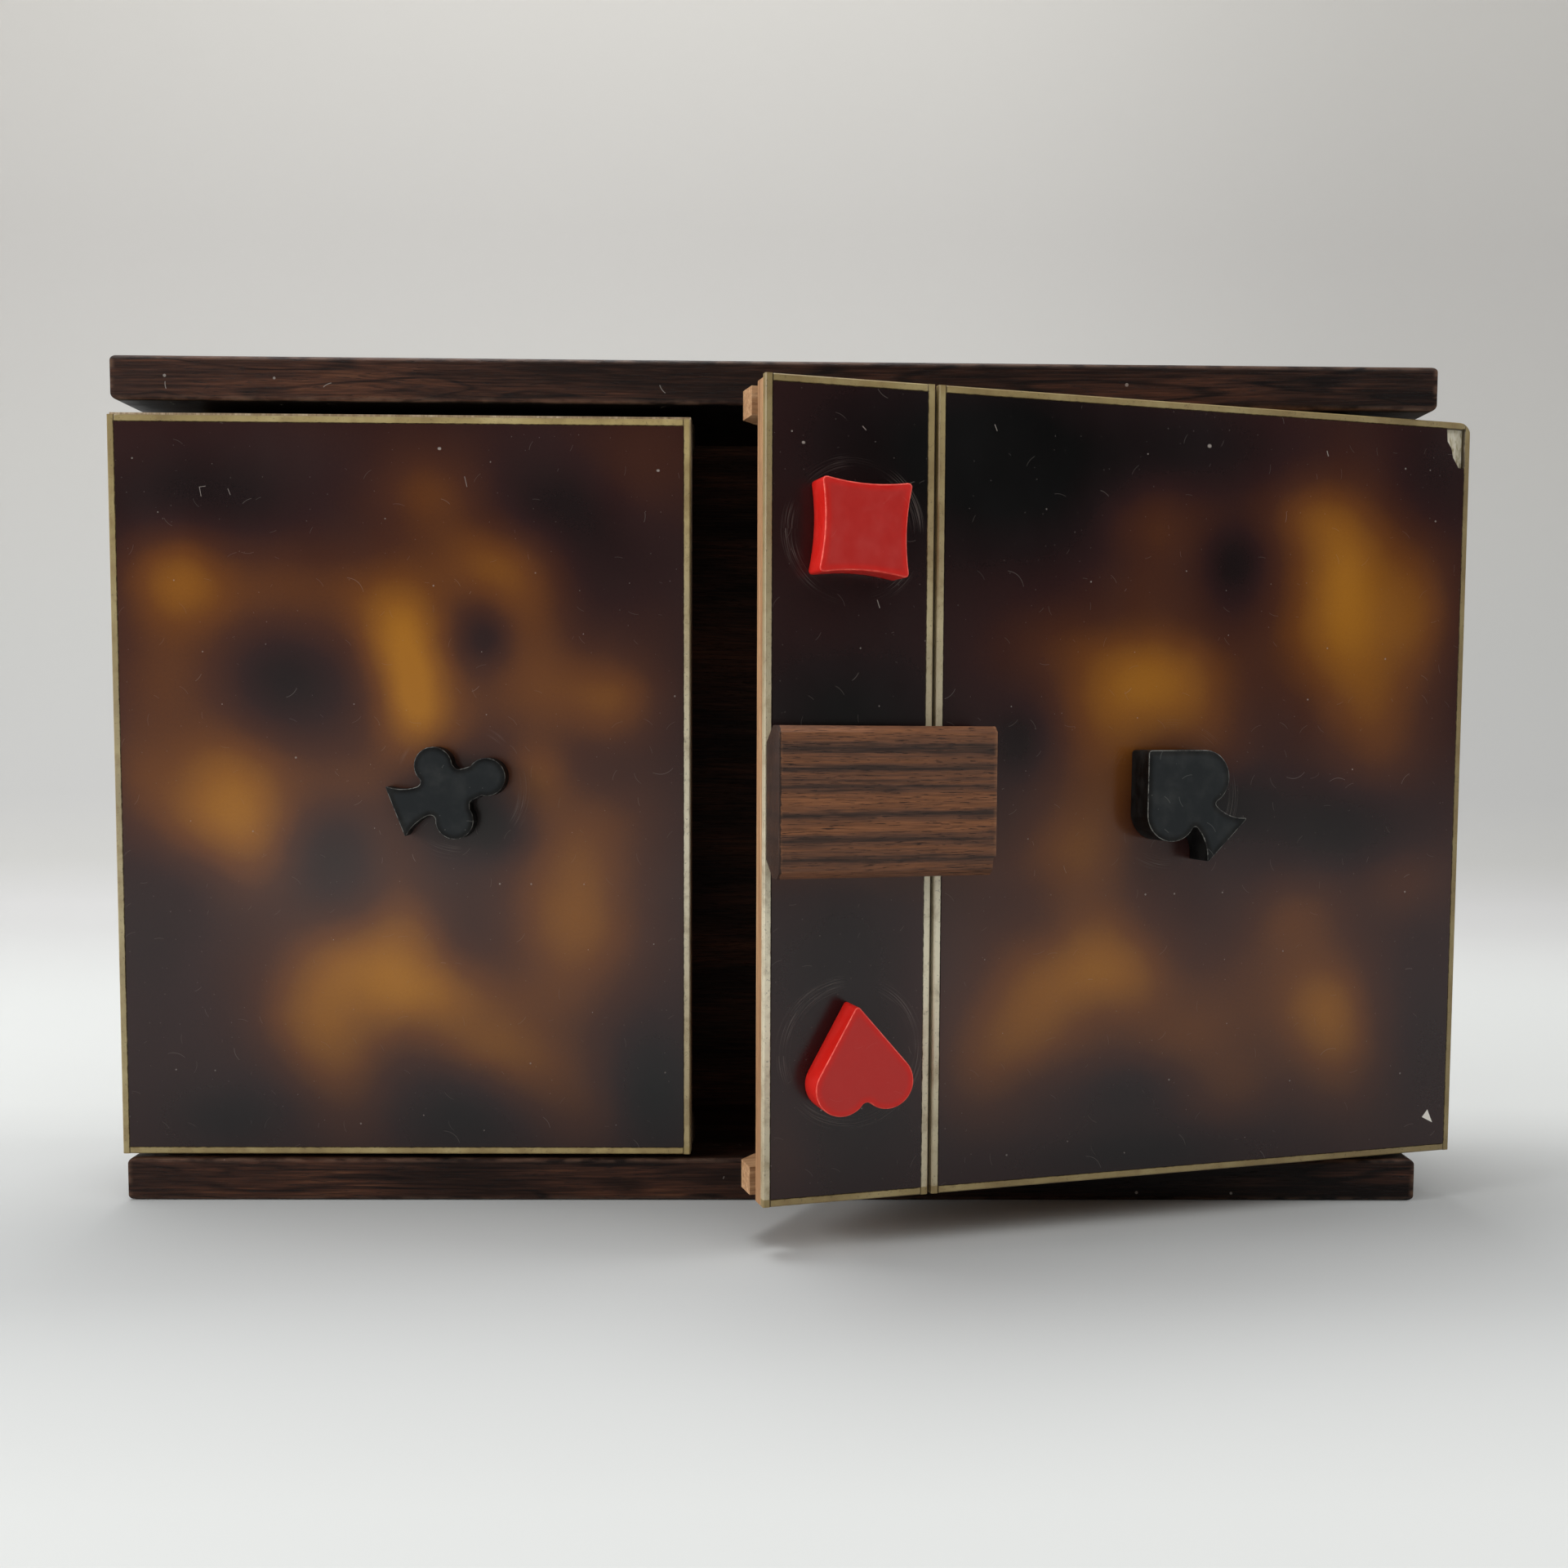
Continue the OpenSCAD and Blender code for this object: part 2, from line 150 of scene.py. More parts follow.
def spotAt(flat, across, up, width, height, steepness):  # a soft oval spot on a flat pattern
    offset = vectorCalc("SUBTRACT", flat, (across, up, 0.0))
    offset = vectorCalc("DIVIDE", offset, (width, height, 1.0))
    return bell(vectorCalc("DOT_PRODUCT", offset, offset, output=1), steepness)


def startMaterial(name, turned=False):  # turned: a pattern for the right leaf, laid out closed
    material = bpy.data.materials.new(name)
    material.use_nodes = True
    turn = shutRight if turned else Matrix()
    place = addNode("TexCoord", {}, "Object", material.node_tree)
    shift = turn.to_translation() / mm
    return material, addNode("Mapping", {0: place, 1: shift, 2: turn.to_euler(), 3: (1 / mm,) * 3})


def finishMaterial(material, tone, roughness, height=None, **shaderValues):
    tree = material.node_tree
    shader = tree.nodes["Principled BSDF"]
    tree.links.new(tone, shader.inputs["Base Color"])
    if isinstance(roughness, bpy.types.NodeSocket):
        tree.links.new(roughness, shader.inputs["Roughness"])
    else:
        shader.inputs["Roughness"].default_value = roughness
    if height is not None:
        bump = addNode("Bump", {"Height": height, "Distance": mm, "Strength": 1.0})
        tree.links.new(bump, shader.inputs["Normal"])
    for name, value in shaderValues.items():
        shader.inputs[name.replace("_", " ")].default_value = value
    return material


def nearEdge(place, low, high, width):  # 1 on the edges of a box, 0 a width away from them
    centre, half = (low + high) / 2, (high - low) / 2
    depth = vectorCalc("SUBTRACT", half, vectorCalc("ABSOLUTE", vectorCalc("SUBTRACT", place, centre)))
    x, y, z = parts(depth)
    second = calc("MAXIMUM", calc("MINIMUM", x, y), calc("MINIMUM", calc("MAXIMUM", x, y), z))
    return spread(second, 0.0, width, 1.0, 0.0)


markLook = {"curl": 0.25, "core": 0.3, "strokeFade": (0.25, 0.6), "smallest": 0.35}


def scatter(flat, cell, shift):  # one random point to a cell, with its own three random numbers
    place = vectorCalc("ADD", flat, (shift, shift, 0.0))
    cells = addNode("TexVoronoi", {"Vector": place, "Scale": 1 / cell}, voronoi_dimensions="2D").node.outputs
    return place, cells, parts(cells["Color"])


def marks(flat, cell, length, width, share, shift=0.0):  # fine curled marks at random angles
    place, cells, (turn, pick, size) = scatter(flat, cell, shift)
    away = vectorCalc("SUBTRACT", place, cells["Position"])
    turned = addNode("VectorRotate", {"Vector": away, "Angle": times(turn, math.tau)},
                     rotation_type="Z_AXIS")
    along, across = parts(turned)[:2]
    reach = times(size, length / 2)
    inLength = calc("LESS_THAN", calc("ABSOLUTE", along), reach)
    bow = times(square(along), markLook["curl"])
    fromMiddle = calc("ABSOLUTE", minus(across, bow))
    inWidth = spread(fromMiddle, width * markLook["core"], width, 1.0, 0.0)
    chosen = calc("LESS_THAN", pick, share)
    return times(times(inLength, inWidth), chosen)


def specks(flat, cell, radius, share, shift=0.0):  # round specks of dust
    cells, randoms = scatter(flat, cell, shift)[1:]
    pick, size = randoms[1:]
    reach = times(plus(size, markLook["smallest"]), radius / cell)
    inside = calc("LESS_THAN", cells["Distance"], reach)
    return times(inside, calc("LESS_THAN", pick, share))


def strokes(flat, placed):  # listed scratches and dots, each (x, up, x, up, width)
    drawn = 0.0
    for startX, startUp, endX, endUp, width in placed:
        start, end = Vector((startX, startUp, 0)), Vector((endX, endUp, 0))
        way = (end - start).normalized()
        offset = vectorCalc("SUBTRACT", flat, start)
        reach = addNode("Clamp", {0: vectorCalc("DOT_PRODUCT", offset, way, output=1), 1: 0.0,
                                  2: (end - start).length})
        nearest = addNode("VectorMath", {0: way, 3: reach}, operation="SCALE")
        away = vectorCalc("LENGTH", vectorCalc("SUBTRACT", offset, nearest), output=1)
        inner, outer = (width * share for share in markLook["strokeFade"])
        drawn = calc("MAXIMUM", drawn, spread(away, inner, outer, 1.0, 0.0))
    return drawn


def closedBox(names, turned=False):  # the box of some nodes in millimetres, with the right leaf closed
    around = shutRight if turned else Matrix()
    points = [around @ vertex.co for name in names for vertex in nodes[name].data.vertices]
    low = Vector(min(point[axis] for point in points) for axis in range(3)) / mm
    high = Vector(max(point[axis] for point in points) for axis in range(3)) / mm
    return low, high


# Wood

def grainAlong(place, axis):  # swaps the axes so that the grain runs along X
    x, y, z = parts(place)
    return place if axis == "X" else joined(z, y, x)


woodDetail = {
    "wander": (70, 14, 14), "poreRange": (0.60, 0.68), "fibreRamp": [(0.3, grey(0.25)), (0.7, grey(0.75))],
    "swirlBend": 0.4, "lineWidth": 0.4, "lineRange": (0.35, 0.6), "underside": 0.1, "worn": (3, 1.2, 1.2),
    "wearAndHighlightRange": (0.35, 0.65), "darkSpanShare": 0.92, "rougher": (-0.06, 0.08), "poreDepth": 1.2}

bandDetail = {"sway": 0.5, "waver": (5, 5, 2), "waverReach": 0.9, "share": 0.7}

endDetail = {"ragged": 0.8, "raggedReach": 0.5, "scuffs": (0.25, 0.25, 2.5), "scuffRange": (0.5, 0.75),
             "shares": (0.95, 0.55)}

dustDetail = {"specks": (4.5, 0.22), "hairs": (5.0, 1.6, 0.07), "hairShift": 31.0, "share": 0.55,
              "tone": colour(170, 162, 155)}


def boardBands(place, z, sway, level, box, bands):  # light and dark, at heights from the top
    top, tall = box[1].z, bands[-1][0]
    waver = minus(noiseAt(place, bandDetail["waver"], 2.0), 0.5)
    waver = plus(times(sway, bandDetail["sway"]), times(waver, bandDetail["waverReach"]))
    fromTop = calc("DIVIDE", plus(minus(top, z), waver), tall)
    banded = ramp(fromTop, [(height / tall, grey(light)) for height, light in bands])
    return plus(times(banded, bandDetail["share"]), times(level, 1 - bandDetail["share"]))


def endGrain(place, x, box, look, tone):  # dark and scuffed at the end that the fingers push
    ragged = times(noiseAt(place, endDetail["ragged"], 3.0, 0.7), endDetail["raggedReach"])
    fromEnd = minus(minus(x, box[0].x), minus(ragged, endDetail["raggedReach"] / 2))
    scuffs = spread(noiseAt(place, endDetail["scuffs"], 3.0, 0.7), *endDetail["scuffRange"],
                    *endDetail["shares"])
    atEnd = times(calc("LESS_THAN", fromEnd, look["endWidth"]), scuffs)
    return blend(atEnd, tone, look["endTone"])


def boardDust(x, y, z, share, tone):  # specks and hairs, none on the board's ends
    flat = joined(x, plus(z, y))
    dust = calc("MAXIMUM", specks(flat, *dustDetail["specks"], share),
                marks(flat, *dustDetail["hairs"], share, dustDetail["hairShift"]))
    sideways = calc("ABSOLUTE", parts(addNode("TexCoord", {}, "Normal", x.id_data))[0])
    dust = times(dust, calc("LESS_THAN", sideways, 0.5))
    return blend(times(dust, dustDetail["share"]), tone, dustDetail["tone"])


def woodMaterial(name, look, axis="X", turned=False, box=None, darkSpan=None, bands=None):
    material, place = startMaterial(name, turned)
    detail = woodDetail
    grain = grainAlong(place, axis)
    wander = noiseAt(grain, detail["wander"], 2.0, shift=(look["seed"], 0, 0))
    sway = times(minus(wander, 0.5), look["wander"])
    grain = vectorCalc("ADD", grain, joined(0.0, sway, sway))
    seed = (look["seed"], look["seed"], 0)
    figure = noiseAt(grain, look["figure"], 3.0, 0.55, shift=seed)
    streaks = noiseAt(grain, look["streaks"], 3.0, 0.6, shift=seed)
    fibres = noiseAt(grain, look["fibres"], 3.0, 0.6, shift=seed)
    pores = spread(noiseAt(grain, look["pores"], 2.0, 0.6, shift=seed), *detail["poreRange"])
    mixed = plus(times(figure, 1 - look["streakShare"]), times(streaks, look["streakShare"]))
    level = spread(mixed, look["low"], look["high"])
    x, y, z = parts(place)
    for across, width, strength in look["paintedLightAndShade"]:  # painted light and shade: lighter or darker stretches along the board
        away = calc("DIVIDE", minus(x, across), width)
        level = calc("MULTIPLY_ADD", bell(square(away)), strength, level)
    if look["lines"]:  # dark figure, thin lines that follow the swirls of the wood
        swirl = noiseAt(grain, look["swirl"], 1.5, 0.5, bend=detail["swirlBend"], shift=seed)
        rings = calc("PINGPONG", times(swirl, look["rings"]), 1.0)
        lines = times(spread(rings, 0.0, detail["lineWidth"], 1.0, 0.0),
                      spread(figure, *detail["lineRange"]))
        level = minus(level, times(lines, look["lines"]))
    if bands:
        level = boardBands(place, z, sway, level, box, bands)
    tone = ramp(level, look["tones"])
    if look["under"] < 1.0:  # painted shade: the underside of the board is darker
        below = calc("LESS_THAN", z, box[0].z + detail["underside"])
        tone = blend(below, tone, grey(look["under"]), "MULTIPLY")
    tone = blend(look["fibreShare"], tone, ramp(fibres, detail["fibreRamp"]), "OVERLAY")
    tone = blend(times(pores, look["poreShare"]), tone, look["poreTone"])
    if box:
        # edge tone: wear, and on the rosewood boards partly a painted highlight
        worn = nearEdge(place, *box, look["wearAndHighlightWidth"])
        patchy = spread(noiseAt(place, detail["worn"], 3.0), *detail["wearAndHighlightRange"])
        tone = blend(times(times(worn, patchy), look["wearAndHighlightShare"]), tone, look["wearAndHighlightTone"])
    if darkSpan:  # the part of the core that shows in the groove is darker, and a left shelf's free end gets painted shade
        inDarkSpan = times(calc("GREATER_THAN", x, darkSpan[0]), calc("LESS_THAN", x, darkSpan[1]))
        tone = blend(times(inDarkSpan, detail["darkSpanShare"]), tone, look["darkSpanTone"])
    if bands:
        tone = endGrain(place, x, box, look, tone)
    if look["dust"]:
        tone = boardDust(x, y, z, look["dust"], tone)
    roughness = spread(fibres, 0.3, 0.7, *(look["roughness"] + more for more in detail["rougher"]))
    height = minus(times(fibres, look["relief"]), times(pores, look["relief"] * detail["poreDepth"]))
    return finishMaterial(material, tone, roughness, height, Specular_IOR_Level=look["shine"])


rosewoodLook = {
    "seed": 3.0, "wander": 3.5, "figure": (34, 4.0, 4.0), "streaks": (11, 0.32, 0.32),
    "fibres": (4, 0.12, 0.12), "pores": (2.2, 0.12, 0.12), "streakShare": 0.45, "low": 0.26, "high": 0.76,
    "tones": [(0.0, colour(18, 10, 8)), (0.3, colour(38, 23, 17)), (0.55, colour(58, 36, 27)),
              (0.8, colour(78, 48, 34)), (1.0, colour(100, 66, 46))],
    "swirl": (30, 3.4, 3.4), "rings": 10.0, "lines": 0.42, "paintedLightAndShade": [], "under": 1.0,
    "fibreShare": 0.62, "poreShare": 0.7, "poreTone": colour(14, 8, 6), "wearAndHighlightWidth": 0.8, "shine": 0.16,
    "wearAndHighlightShare": 0.55, "wearAndHighlightTone": colour(128, 98, 80), "dust": 0.07, "roughness": 0.45, "relief": 0.03}

# The boards carry stretches of painted light and shade, and the top board painted shade underneath
topBoardLook = dict(rosewoodLook, under=0.06, paintedLightAndShade=[(-70, 40, 0.1), (26, 26, -0.2), (76, 22, -0.24)])
bottomBoardLook = dict(rosewoodLook, seed=21.0, paintedLightAndShade=[(-75, 30, 0.16), (-44, 9, -0.16), (70, 40, -0.3)])

endWallLook = dict(rosewoodLook, seed=15.0)
insideLook = dict(rosewoodLook, seed=11.0, wearAndHighlightShare=0.0, dust=0.0, roughness=0.55, lines=0.1)

buttonLook = {
    "seed": 7.3, "wander": 0.8, "figure": (50, 1.5, 1.5), "streaks": (12, 0.35, 0.35),
    "fibres": (4, 0.16, 0.16), "pores": (2.2, 0.12, 0.12), "streakShare": 0.8, "low": 0.32, "high": 0.68,
    "tones": [(0.0, colour(44, 33, 30)), (0.25, colour(62, 45, 37)), (0.5, colour(98, 66, 49)),
              (0.75, colour(119, 77, 51)), (1.0, colour(143, 93, 60))],
    "lines": 0.0, "paintedLightAndShade": [], "under": 1.0,
    "fibreShare": 0.6, "poreShare": 0.85, "poreTone": colour(34, 24, 21), "wearAndHighlightWidth": 0.6, "shine": 0.22,
    "wearAndHighlightShare": 0.6, "wearAndHighlightTone": colour(152, 106, 74), "dust": 0.0, "roughness": 0.5, "relief": 0.06,
    "endWidth": 0.25, "endTone": colour(50, 36, 31),
    "bands": [(0.0, 0.7), (0.6, 0.95), (1.4, 0.75), (2.1, 0.4), (2.5, 0.1), (3.1, 0.15), (3.5, 0.65),
              (4.2, 0.8), (4.7, 0.25), (5.0, 0.1), (5.4, 0.55), (5.9, 0.65), (6.3, 0.4), (6.7, 0.6),
              (7.1, 0.1), (7.4, 0.25), (7.9, 0.75), (8.6, 1.0), (9.6, 0.85), (10.1, 0.25), (10.4, 0.05),
              (10.8, 0.35), (11.3, 0.85), (12.2, 1.0), (12.9, 0.4), (13.3, 0.1), (14.2, 0.7), (15.1, 0.6),
              (15.7, 0.1), (16.5, 0.7), (17.9, 0.6)]}

limewoodLook = {
    "seed": 5.1, "wander": 1.0, "figure": (60, 4, 4), "streaks": (30, 0.5, 0.5),
    "fibres": (8, 0.16, 0.16), "pores": (1.6, 0.12, 0.12), "streakShare": 0.6, "low": 0.34, "high": 0.66,
    "tones": [(0.0, colour(152, 110, 75)), (0.4, colour(170, 128, 90)), (0.7, colour(184, 143, 104)),
              (1.0, colour(202, 163, 125))], "lines": 0.0, "paintedLightAndShade": [], "under": 1.0,
    "fibreShare": 0.4, "poreShare": 0.4, "poreTone": colour(120, 80, 52), "wearAndHighlightWidth": 0.5,
    "wearAndHighlightShare": 0.35, "wearAndHighlightTone": colour(150, 110, 78), "dust": 0.0, "roughness": 0.62, "relief": 0.03,
    "shine": 0.3, "darkSpanTone": colour(58, 52, 42)}

# the left core's limewood: greyer, and paler as painted light
greyedLitLook = dict(limewoodLook, tones=[(0.0, colour(152, 128, 98)), (0.4, colour(174, 150, 120)),
                                       (0.7, colour(192, 170, 140)), (1.0, colour(214, 194, 164))])


# Tortoiseshell-coloured sheet: soft clouds of amber in a dark ground

tortoiseshellLook = {
    "tones": [(0.0, colour(13, 12, 12)), (0.12, colour(30, 19, 20)), (0.25, colour(48, 27, 26)),
              (0.45, colour(75, 41, 27)), (0.65, colour(108, 62, 26)), (0.85, colour(142, 88, 27)),
              (1.0, colour(170, 110, 29))],
    "ground": 0.27, "groundSwing": 0.14, "groundSize": (24, 24, 24), "cloudFall": 0.8, "sheenFall": 1.0,
    "warps": [(11, 2.5, 1.5), (3, 3.0, 0.7)],  # size, detail and reach
    "grit": (0.35, 0.35, 1), "gritShare": 0.07, "paintedShadeUp": (4, 28), "grimeAndShade": 0.28,
    "hairs": [(3.6, 1.7, 0.04, 0.35, 0.0, 0.14), (12.0, 3.0, 0.045, 0.3, 47.0, 0.22)],  # strength last
    "specks": [(1.9, 0.06, 0.3, 13.0, 0.14), (8.0, 0.1, 0.35, 29.0, 0.5)], "strokes": 0.75,
    "scratchAndSheenTone": colour(168, 158, 150), "scratchRough": 0.3, "scratchDepth": -0.01,
    "haze": (16, 30, 1), "rougher": (-0.04, 0.08), "ripple": (12, 12, 1), "rippleDepth": 0.03,
    "roughness": 0.2, "shine": 0.38}

# Circles rubbed into the sheet by the turning pieces
rubbedLook = {"fine": (1.2, 7.0), "fineRange": (0.48, 0.68), "patch": 0.9, "patchRange": (0.46, 0.6),
              "inner": (1.6, 0.3), "outer": 1.0, "share": 0.2}

# Each cloud: across, up, width, height and strength, which is below 0 where the sheet is darker
leftClouds = [
    (8.5, 76.5, 6, 6, 0.46), (22, 75, 12, 6, 0.28), (37, 71, 5.5, 7, 0.40), (39.5, 64, 5, 8, 0.44),
    (41, 58, 6, 6, 0.38), (49, 79, 7, 5, 0.36), (42, 88, 6, 5, 0.28), (54, 73, 6, 7, 0.30),
    (56.5, 62, 8, 6, 0.34), (66, 61, 5, 5, 0.30), (8, 63, 9, 7, 0.26), (14, 51, 8, 6, 0.46),
    (11, 44, 7, 5, 0.36), (19, 42, 5, 7, 0.38), (27, 50, 6, 5, 0.14), (3, 51, 4, 6, 0.20),
    (61, 40, 8, 8, 0.40), (56, 51, 4, 5, 0.24), (61, 29, 8, 7, 0.40), (30, 27, 8, 5, 0.40),
    (38, 31, 5, 5, 0.34), (26, 19, 7, 6, 0.46), (40, 23, 8, 4.5, 0.44), (44, 18, 9, 5, 0.34),
    (55, 12, 8, 6, 0.40), (58, 21, 7, 4, 0.12), (29, 12, 6, 5, 0.30), (37, 42, 4, 6, 0.18),
    (33, 50, 5, 4, 0.14), (54, 50, 4, 4, 0.12),
    (68, 92, 9, 6, 0.12), (59, 87, 8, 6, -0.16), (11, 87, 13, 6, -0.17), (68, 79, 7, 6, -0.10),
    (22, 64, 8, 6, -0.20), (49, 69, 3.5, 4, -0.28), (51, 44, 5, 4, -0.24), (44, 47, 6, 6, -0.16),
    (46, 5, 9, 5, -0.24), (71, 8, 5, 8, -0.28), (15, 5, 7, 4, -0.16), (27, 41, 6, 5, -0.12),
    (4, 32, 6, 14, -0.10), (62, 5, 7, 5, 0.16), (31, 5, 6, 5, 0.12), (35, 19, 4, 4, 0.10),
    (70, 70, 5, 20, 0.05), (48, 14, 5, 3, 0.12), (66, 46, 7, 4, 0.08)]

rightClouds = [
    (79, 80, 7.5, 8, 0.58), (80, 69, 10, 7, 0.48), (84, 60, 8, 6, 0.28), (74, 86, 6, 4, 0.20),
    (91, 75, 5, 8, 0.28), (51, 83, 6, 5, 0.26), (51, 75, 8, 4, 0.14), (52, 66, 9, 5, 0.35),
    (45, 61, 7, 6, 0.38), (56, 60, 7, 6, 0.38), (37, 68, 7, 4, 0.14), (46, 51, 7, 6, 0.30),
    (41, 42, 7, 6, 0.38), (44, 31, 6, 5, 0.34), (39, 25, 8, 5, 0.42), (50, 26, 6, 5, 0.32),
    (33, 19, 7, 5, 0.36), (28, 13, 6, 5, 0.20), (57, 18, 7, 5, 0.28), (73, 33, 7, 5, 0.26),
    (77, 21, 6, 7, 0.42), (68, 23, 6, 8, 0.18), (64, 11, 7, 5, 0.22), (81, 15, 6, 8, 0.28),
    (90, 37, 6, 4, 0.18), (33, 30, 5, 5, 0.12), (61, 25, 5, 5, 0.10), (63, 79, 4, 5, -0.20),
    (62, 85, 8, 4, 0.10),
    (33, 56, 4, 4, -0.20), (49, 11, 6, 4, -0.14), (59, 48, 8, 4, -0.26), (79, 45, 11, 5, -0.20),
    (31, 90, 15, 11, -0.34), (56, 93, 12, 5, -0.14), (92, 92, 6, 8, -0.12), (95, 18, 5, 8, -0.08),
    (50, 3, 15, 3, -0.18), (44, 17, 8, 4, 0.14), (9, 92, 11, 7, -0.10), (10, 76, 12, 10, -0.08),
    (10, 59, 12, 7, -0.24), (10, 30, 12, 10, -0.16), (12, 12, 10, 12, -0.12), (25, 31, 7, 14, 0.12),
    (12, 41, 16, 3.5, 0.18), (86, 54, 7, 5, 0.11), (3, 7, 4, 6, 0.10), (62, 55, 4, 4, 0.10)]

leftMarks = [
    (11.9, 88.6, 12.1, 87.4, 0.07), (12.0, 88.6, 12.7, 88.7, 0.06), (43.2, 93.8, 43.3, 93.8, 0.4),
    (71.8, 91.2, 71.9, 91.2, 0.35), (15.6, 88.4, 15.9, 87.6, 0.06), (46.5, 90.2, 46.8, 88.9, 0.07)]

rightMarks = [
    (4.6, 91.0, 4.7, 91.0, 0.35), (58.6, 93.6, 58.7, 93.6, 0.5), (12.0, 93.3, 12.4, 92.9, 0.1),
    (76.0, 93.9, 76.2, 93.3, 0.12), (29.0, 94.5, 29.3, 93.8, 0.1), (14.0, 72.9, 14.3, 72.0, 0.1)]

# Painted reflection: paler patches that stand for reflected sheen, each (across, up, width, height, strength)
leftPaintedSheen = [(28, 39, 16, 11, 0.045), (50, 40, 30, 14, 0.02), (38, 62, 30, 12, 0.012), (30, 92, 40, 6, 0.008)]
rightPaintedSheen = [(24, 25, 5, 14, 0.02), (30, 46, 12, 7, 0.01)]

# The broken top corner of the wide sheet and a lost flake, (across, up) from the door's free lower corner
chip = {"ledge": 0.6, "edge": [(94.5, 97.9), (94.65, 96.2), (95.3, 95.3), (95.6, 94.1), (96.5, 92.8),
                               (97.4, 92.7)],
        "flake": [(94.65, 5.85), (93.8, 4.85), (95.5, 4.0)], "flakeTone": colour(238, 232, 222),
        "ground": [(0.3, colour(160, 146, 110)), (0.5, colour(214, 206, 182)), (0.7, colour(232, 226, 214))],
        "groundSize": (0.5, 1.6, 1), "groundBend": 0.6}


def rubbedRing(flat, across, up, radius):
    look = rubbedLook
    offset = vectorCalc("SUBTRACT", flat, (across, up, 0.0))
    away = vectorCalc("LENGTH", offset, output=1)
    offsetX, offsetY = parts(offset)[:2]
    angle = calc("ARCTAN2", offsetY, offsetX)
    around, outwards = look["fine"]
    fine = joined(times(angle, around), times(away, outwards), across)
    fine = addNode("TexNoise", {"Vector": fine, "Scale": 1.0, "Detail": 3.0})
    patch = joined(times(angle, look["patch"]), 0.0, up)
    patch = addNode("TexNoise", {"Vector": patch, "Scale": 1.0, "Detail": 1.0})
    ring = times(spread(away, *(radius - inner for inner in look["inner"])),
                 spread(away, radius, radius + look["outer"], 1.0, 0.0))
    return times(ring, times(spread(fine, *look["fineRange"]), spread(patch, *look["patchRange"])))


def brokenSheet(flat, y, low, tone):  # the pale ground where the sheet has broken away
    ground = ramp(noiseAt(flat, chip["groundSize"], 3.0, 0.6, chip["groundBend"]), chip["ground"])
    tone = blend(calc("GREATER_THAN", y, low.y + chip["ledge"] / 2), tone, ground)
    within = None
    for (startX, startUp), (endX, endUp) in zip(chip["flake"], chip["flake"][1:] + chip["flake"][:1]):
        side = Vector((startUp - endUp, endX - startX, 0)).normalized()
        inside = vectorCalc("DOT_PRODUCT", vectorCalc("SUBTRACT", flat, (startX, startUp, 0.0)), side,
                            output=1)
        within = calc("MINIMUM", within, inside) if within else inside
    return blend(calc("GREATER_THAN", within, 0.0), tone, chip["flakeTone"])


def tortoiseshellMaterial(name, clouds, frameBox, suitSpots, turned, placed, paintedSheen, broken=False):
    look = tortoiseshellLook
    material, place = startMaterial(name, turned)
    low = frameBox[0]
    x, y, z = parts(place)
    upwards = minus(z, low.z)
    flat = joined(minus(x, low.x), upwards)
    warped = flat
    for size, fineness, reach in look["warps"]:
        bent = addNode("TexNoise", {"Vector": flat, "Scale": 1 / size, "Detail": fineness}, "Color")
        bent = vectorCalc("MULTIPLY", vectorCalc("SUBTRACT", bent, (0.5, 0.5, 0.5)), (reach, reach, 0.0))
        warped = vectorCalc("ADD", warped, bent)
    swing = minus(noiseAt(flat, look["groundSize"], 2.0), 0.5)
    depth = plus(look["ground"], times(look["groundSwing"], swing))
    for *spot, strength in clouds:
        depth = calc("MULTIPLY_ADD", spotAt(warped, *spot, look["cloudFall"]), strength, depth)
    grit = minus(noiseAt(flat, look["grit"], 2.0, 0.7), 0.5)
    depth = plus(depth, times(grit, look["gritShare"]))
    tone = ramp(depth, look["tones"])
    layers = [(marks(flat, *sizes), strength) for *sizes, strength in look["hairs"]]
    layers += [(specks(flat, *sizes), strength) for *sizes, strength in look["specks"]]
    layers += [(strokes(flat, placed), look["strokes"])]
    layers += [(rubbedRing(flat, *spot), rubbedLook["share"]) for spot in suitSpots]
    scratches = 0.0
    for layer, strength in layers:
        scratches = calc("MAXIMUM", scratches, times(layer, strength))
    tone = blend(scratches, tone, look["scratchAndSheenTone"])
    # painted reflection: paler patches of sheen
    for *spot, strength in paintedSheen:
        sheen = times(spotAt(flat, *spot, look["sheenFall"]), strength)
        tone = blend(sheen, tone, look["scratchAndSheenTone"])
    # painted shade: the sheet is darker towards the bottom
    tone = blend(spread(upwards, *look["paintedShadeUp"], look["grimeAndShade"], 0.0), tone, grey(0))
    if broken:
        tone = brokenSheet(flat, y, low, tone)
    haze = noiseAt(flat, look["haze"], 3.0, 0.6)
    roughness = plus(spread(haze, 0.1, 0.9, *(look["roughness"] + more for more in look["rougher"])),
                     times(scratches, look["scratchRough"]))
    ripple = times(noiseAt(flat, look["ripple"], 1.0), look["rippleDepth"])
    height = plus(ripple, times(scratches, look["scratchDepth"]))
    return finishMaterial(material, tone, roughness, height, Specular_IOR_Level=look["shine"])


# Pale stringing, grimy at the joints, with a dark line along the sheet that is grime and painted shade

creamLook = {
    "tones": [(0.25, colour(142, 121, 75)), (0.5, colour(178, 157, 103)), (0.75, colour(205, 187, 133))],
    "toneSize": 7, "pale": colour(234, 226, 200), "dim": colour(96, 80, 50), "grimeAndShade": colour(52, 40, 27),
    "stain": colour(124, 99, 60), "stainSize": 2.2, "stainRange": (0.45, 0.75), "stainShare": 0.5,
    "ragged": 0.9, "raggedReach": 0.34, "grimeAndShadeReach": (0.03, 0.17), "grimeAndShadeShare": 0.9,
    "jointReach": (0.03, 0.09), "jointShare": 0.55, "outerReach": (0.65, 0.93), "outerShare": 0.25,
    "dotSize": 0.3, "dotRange": (0.62, 0.7), "dotShare": 0.4, "depth": -0.06, "width": 0.95, "roughness": 0.4}


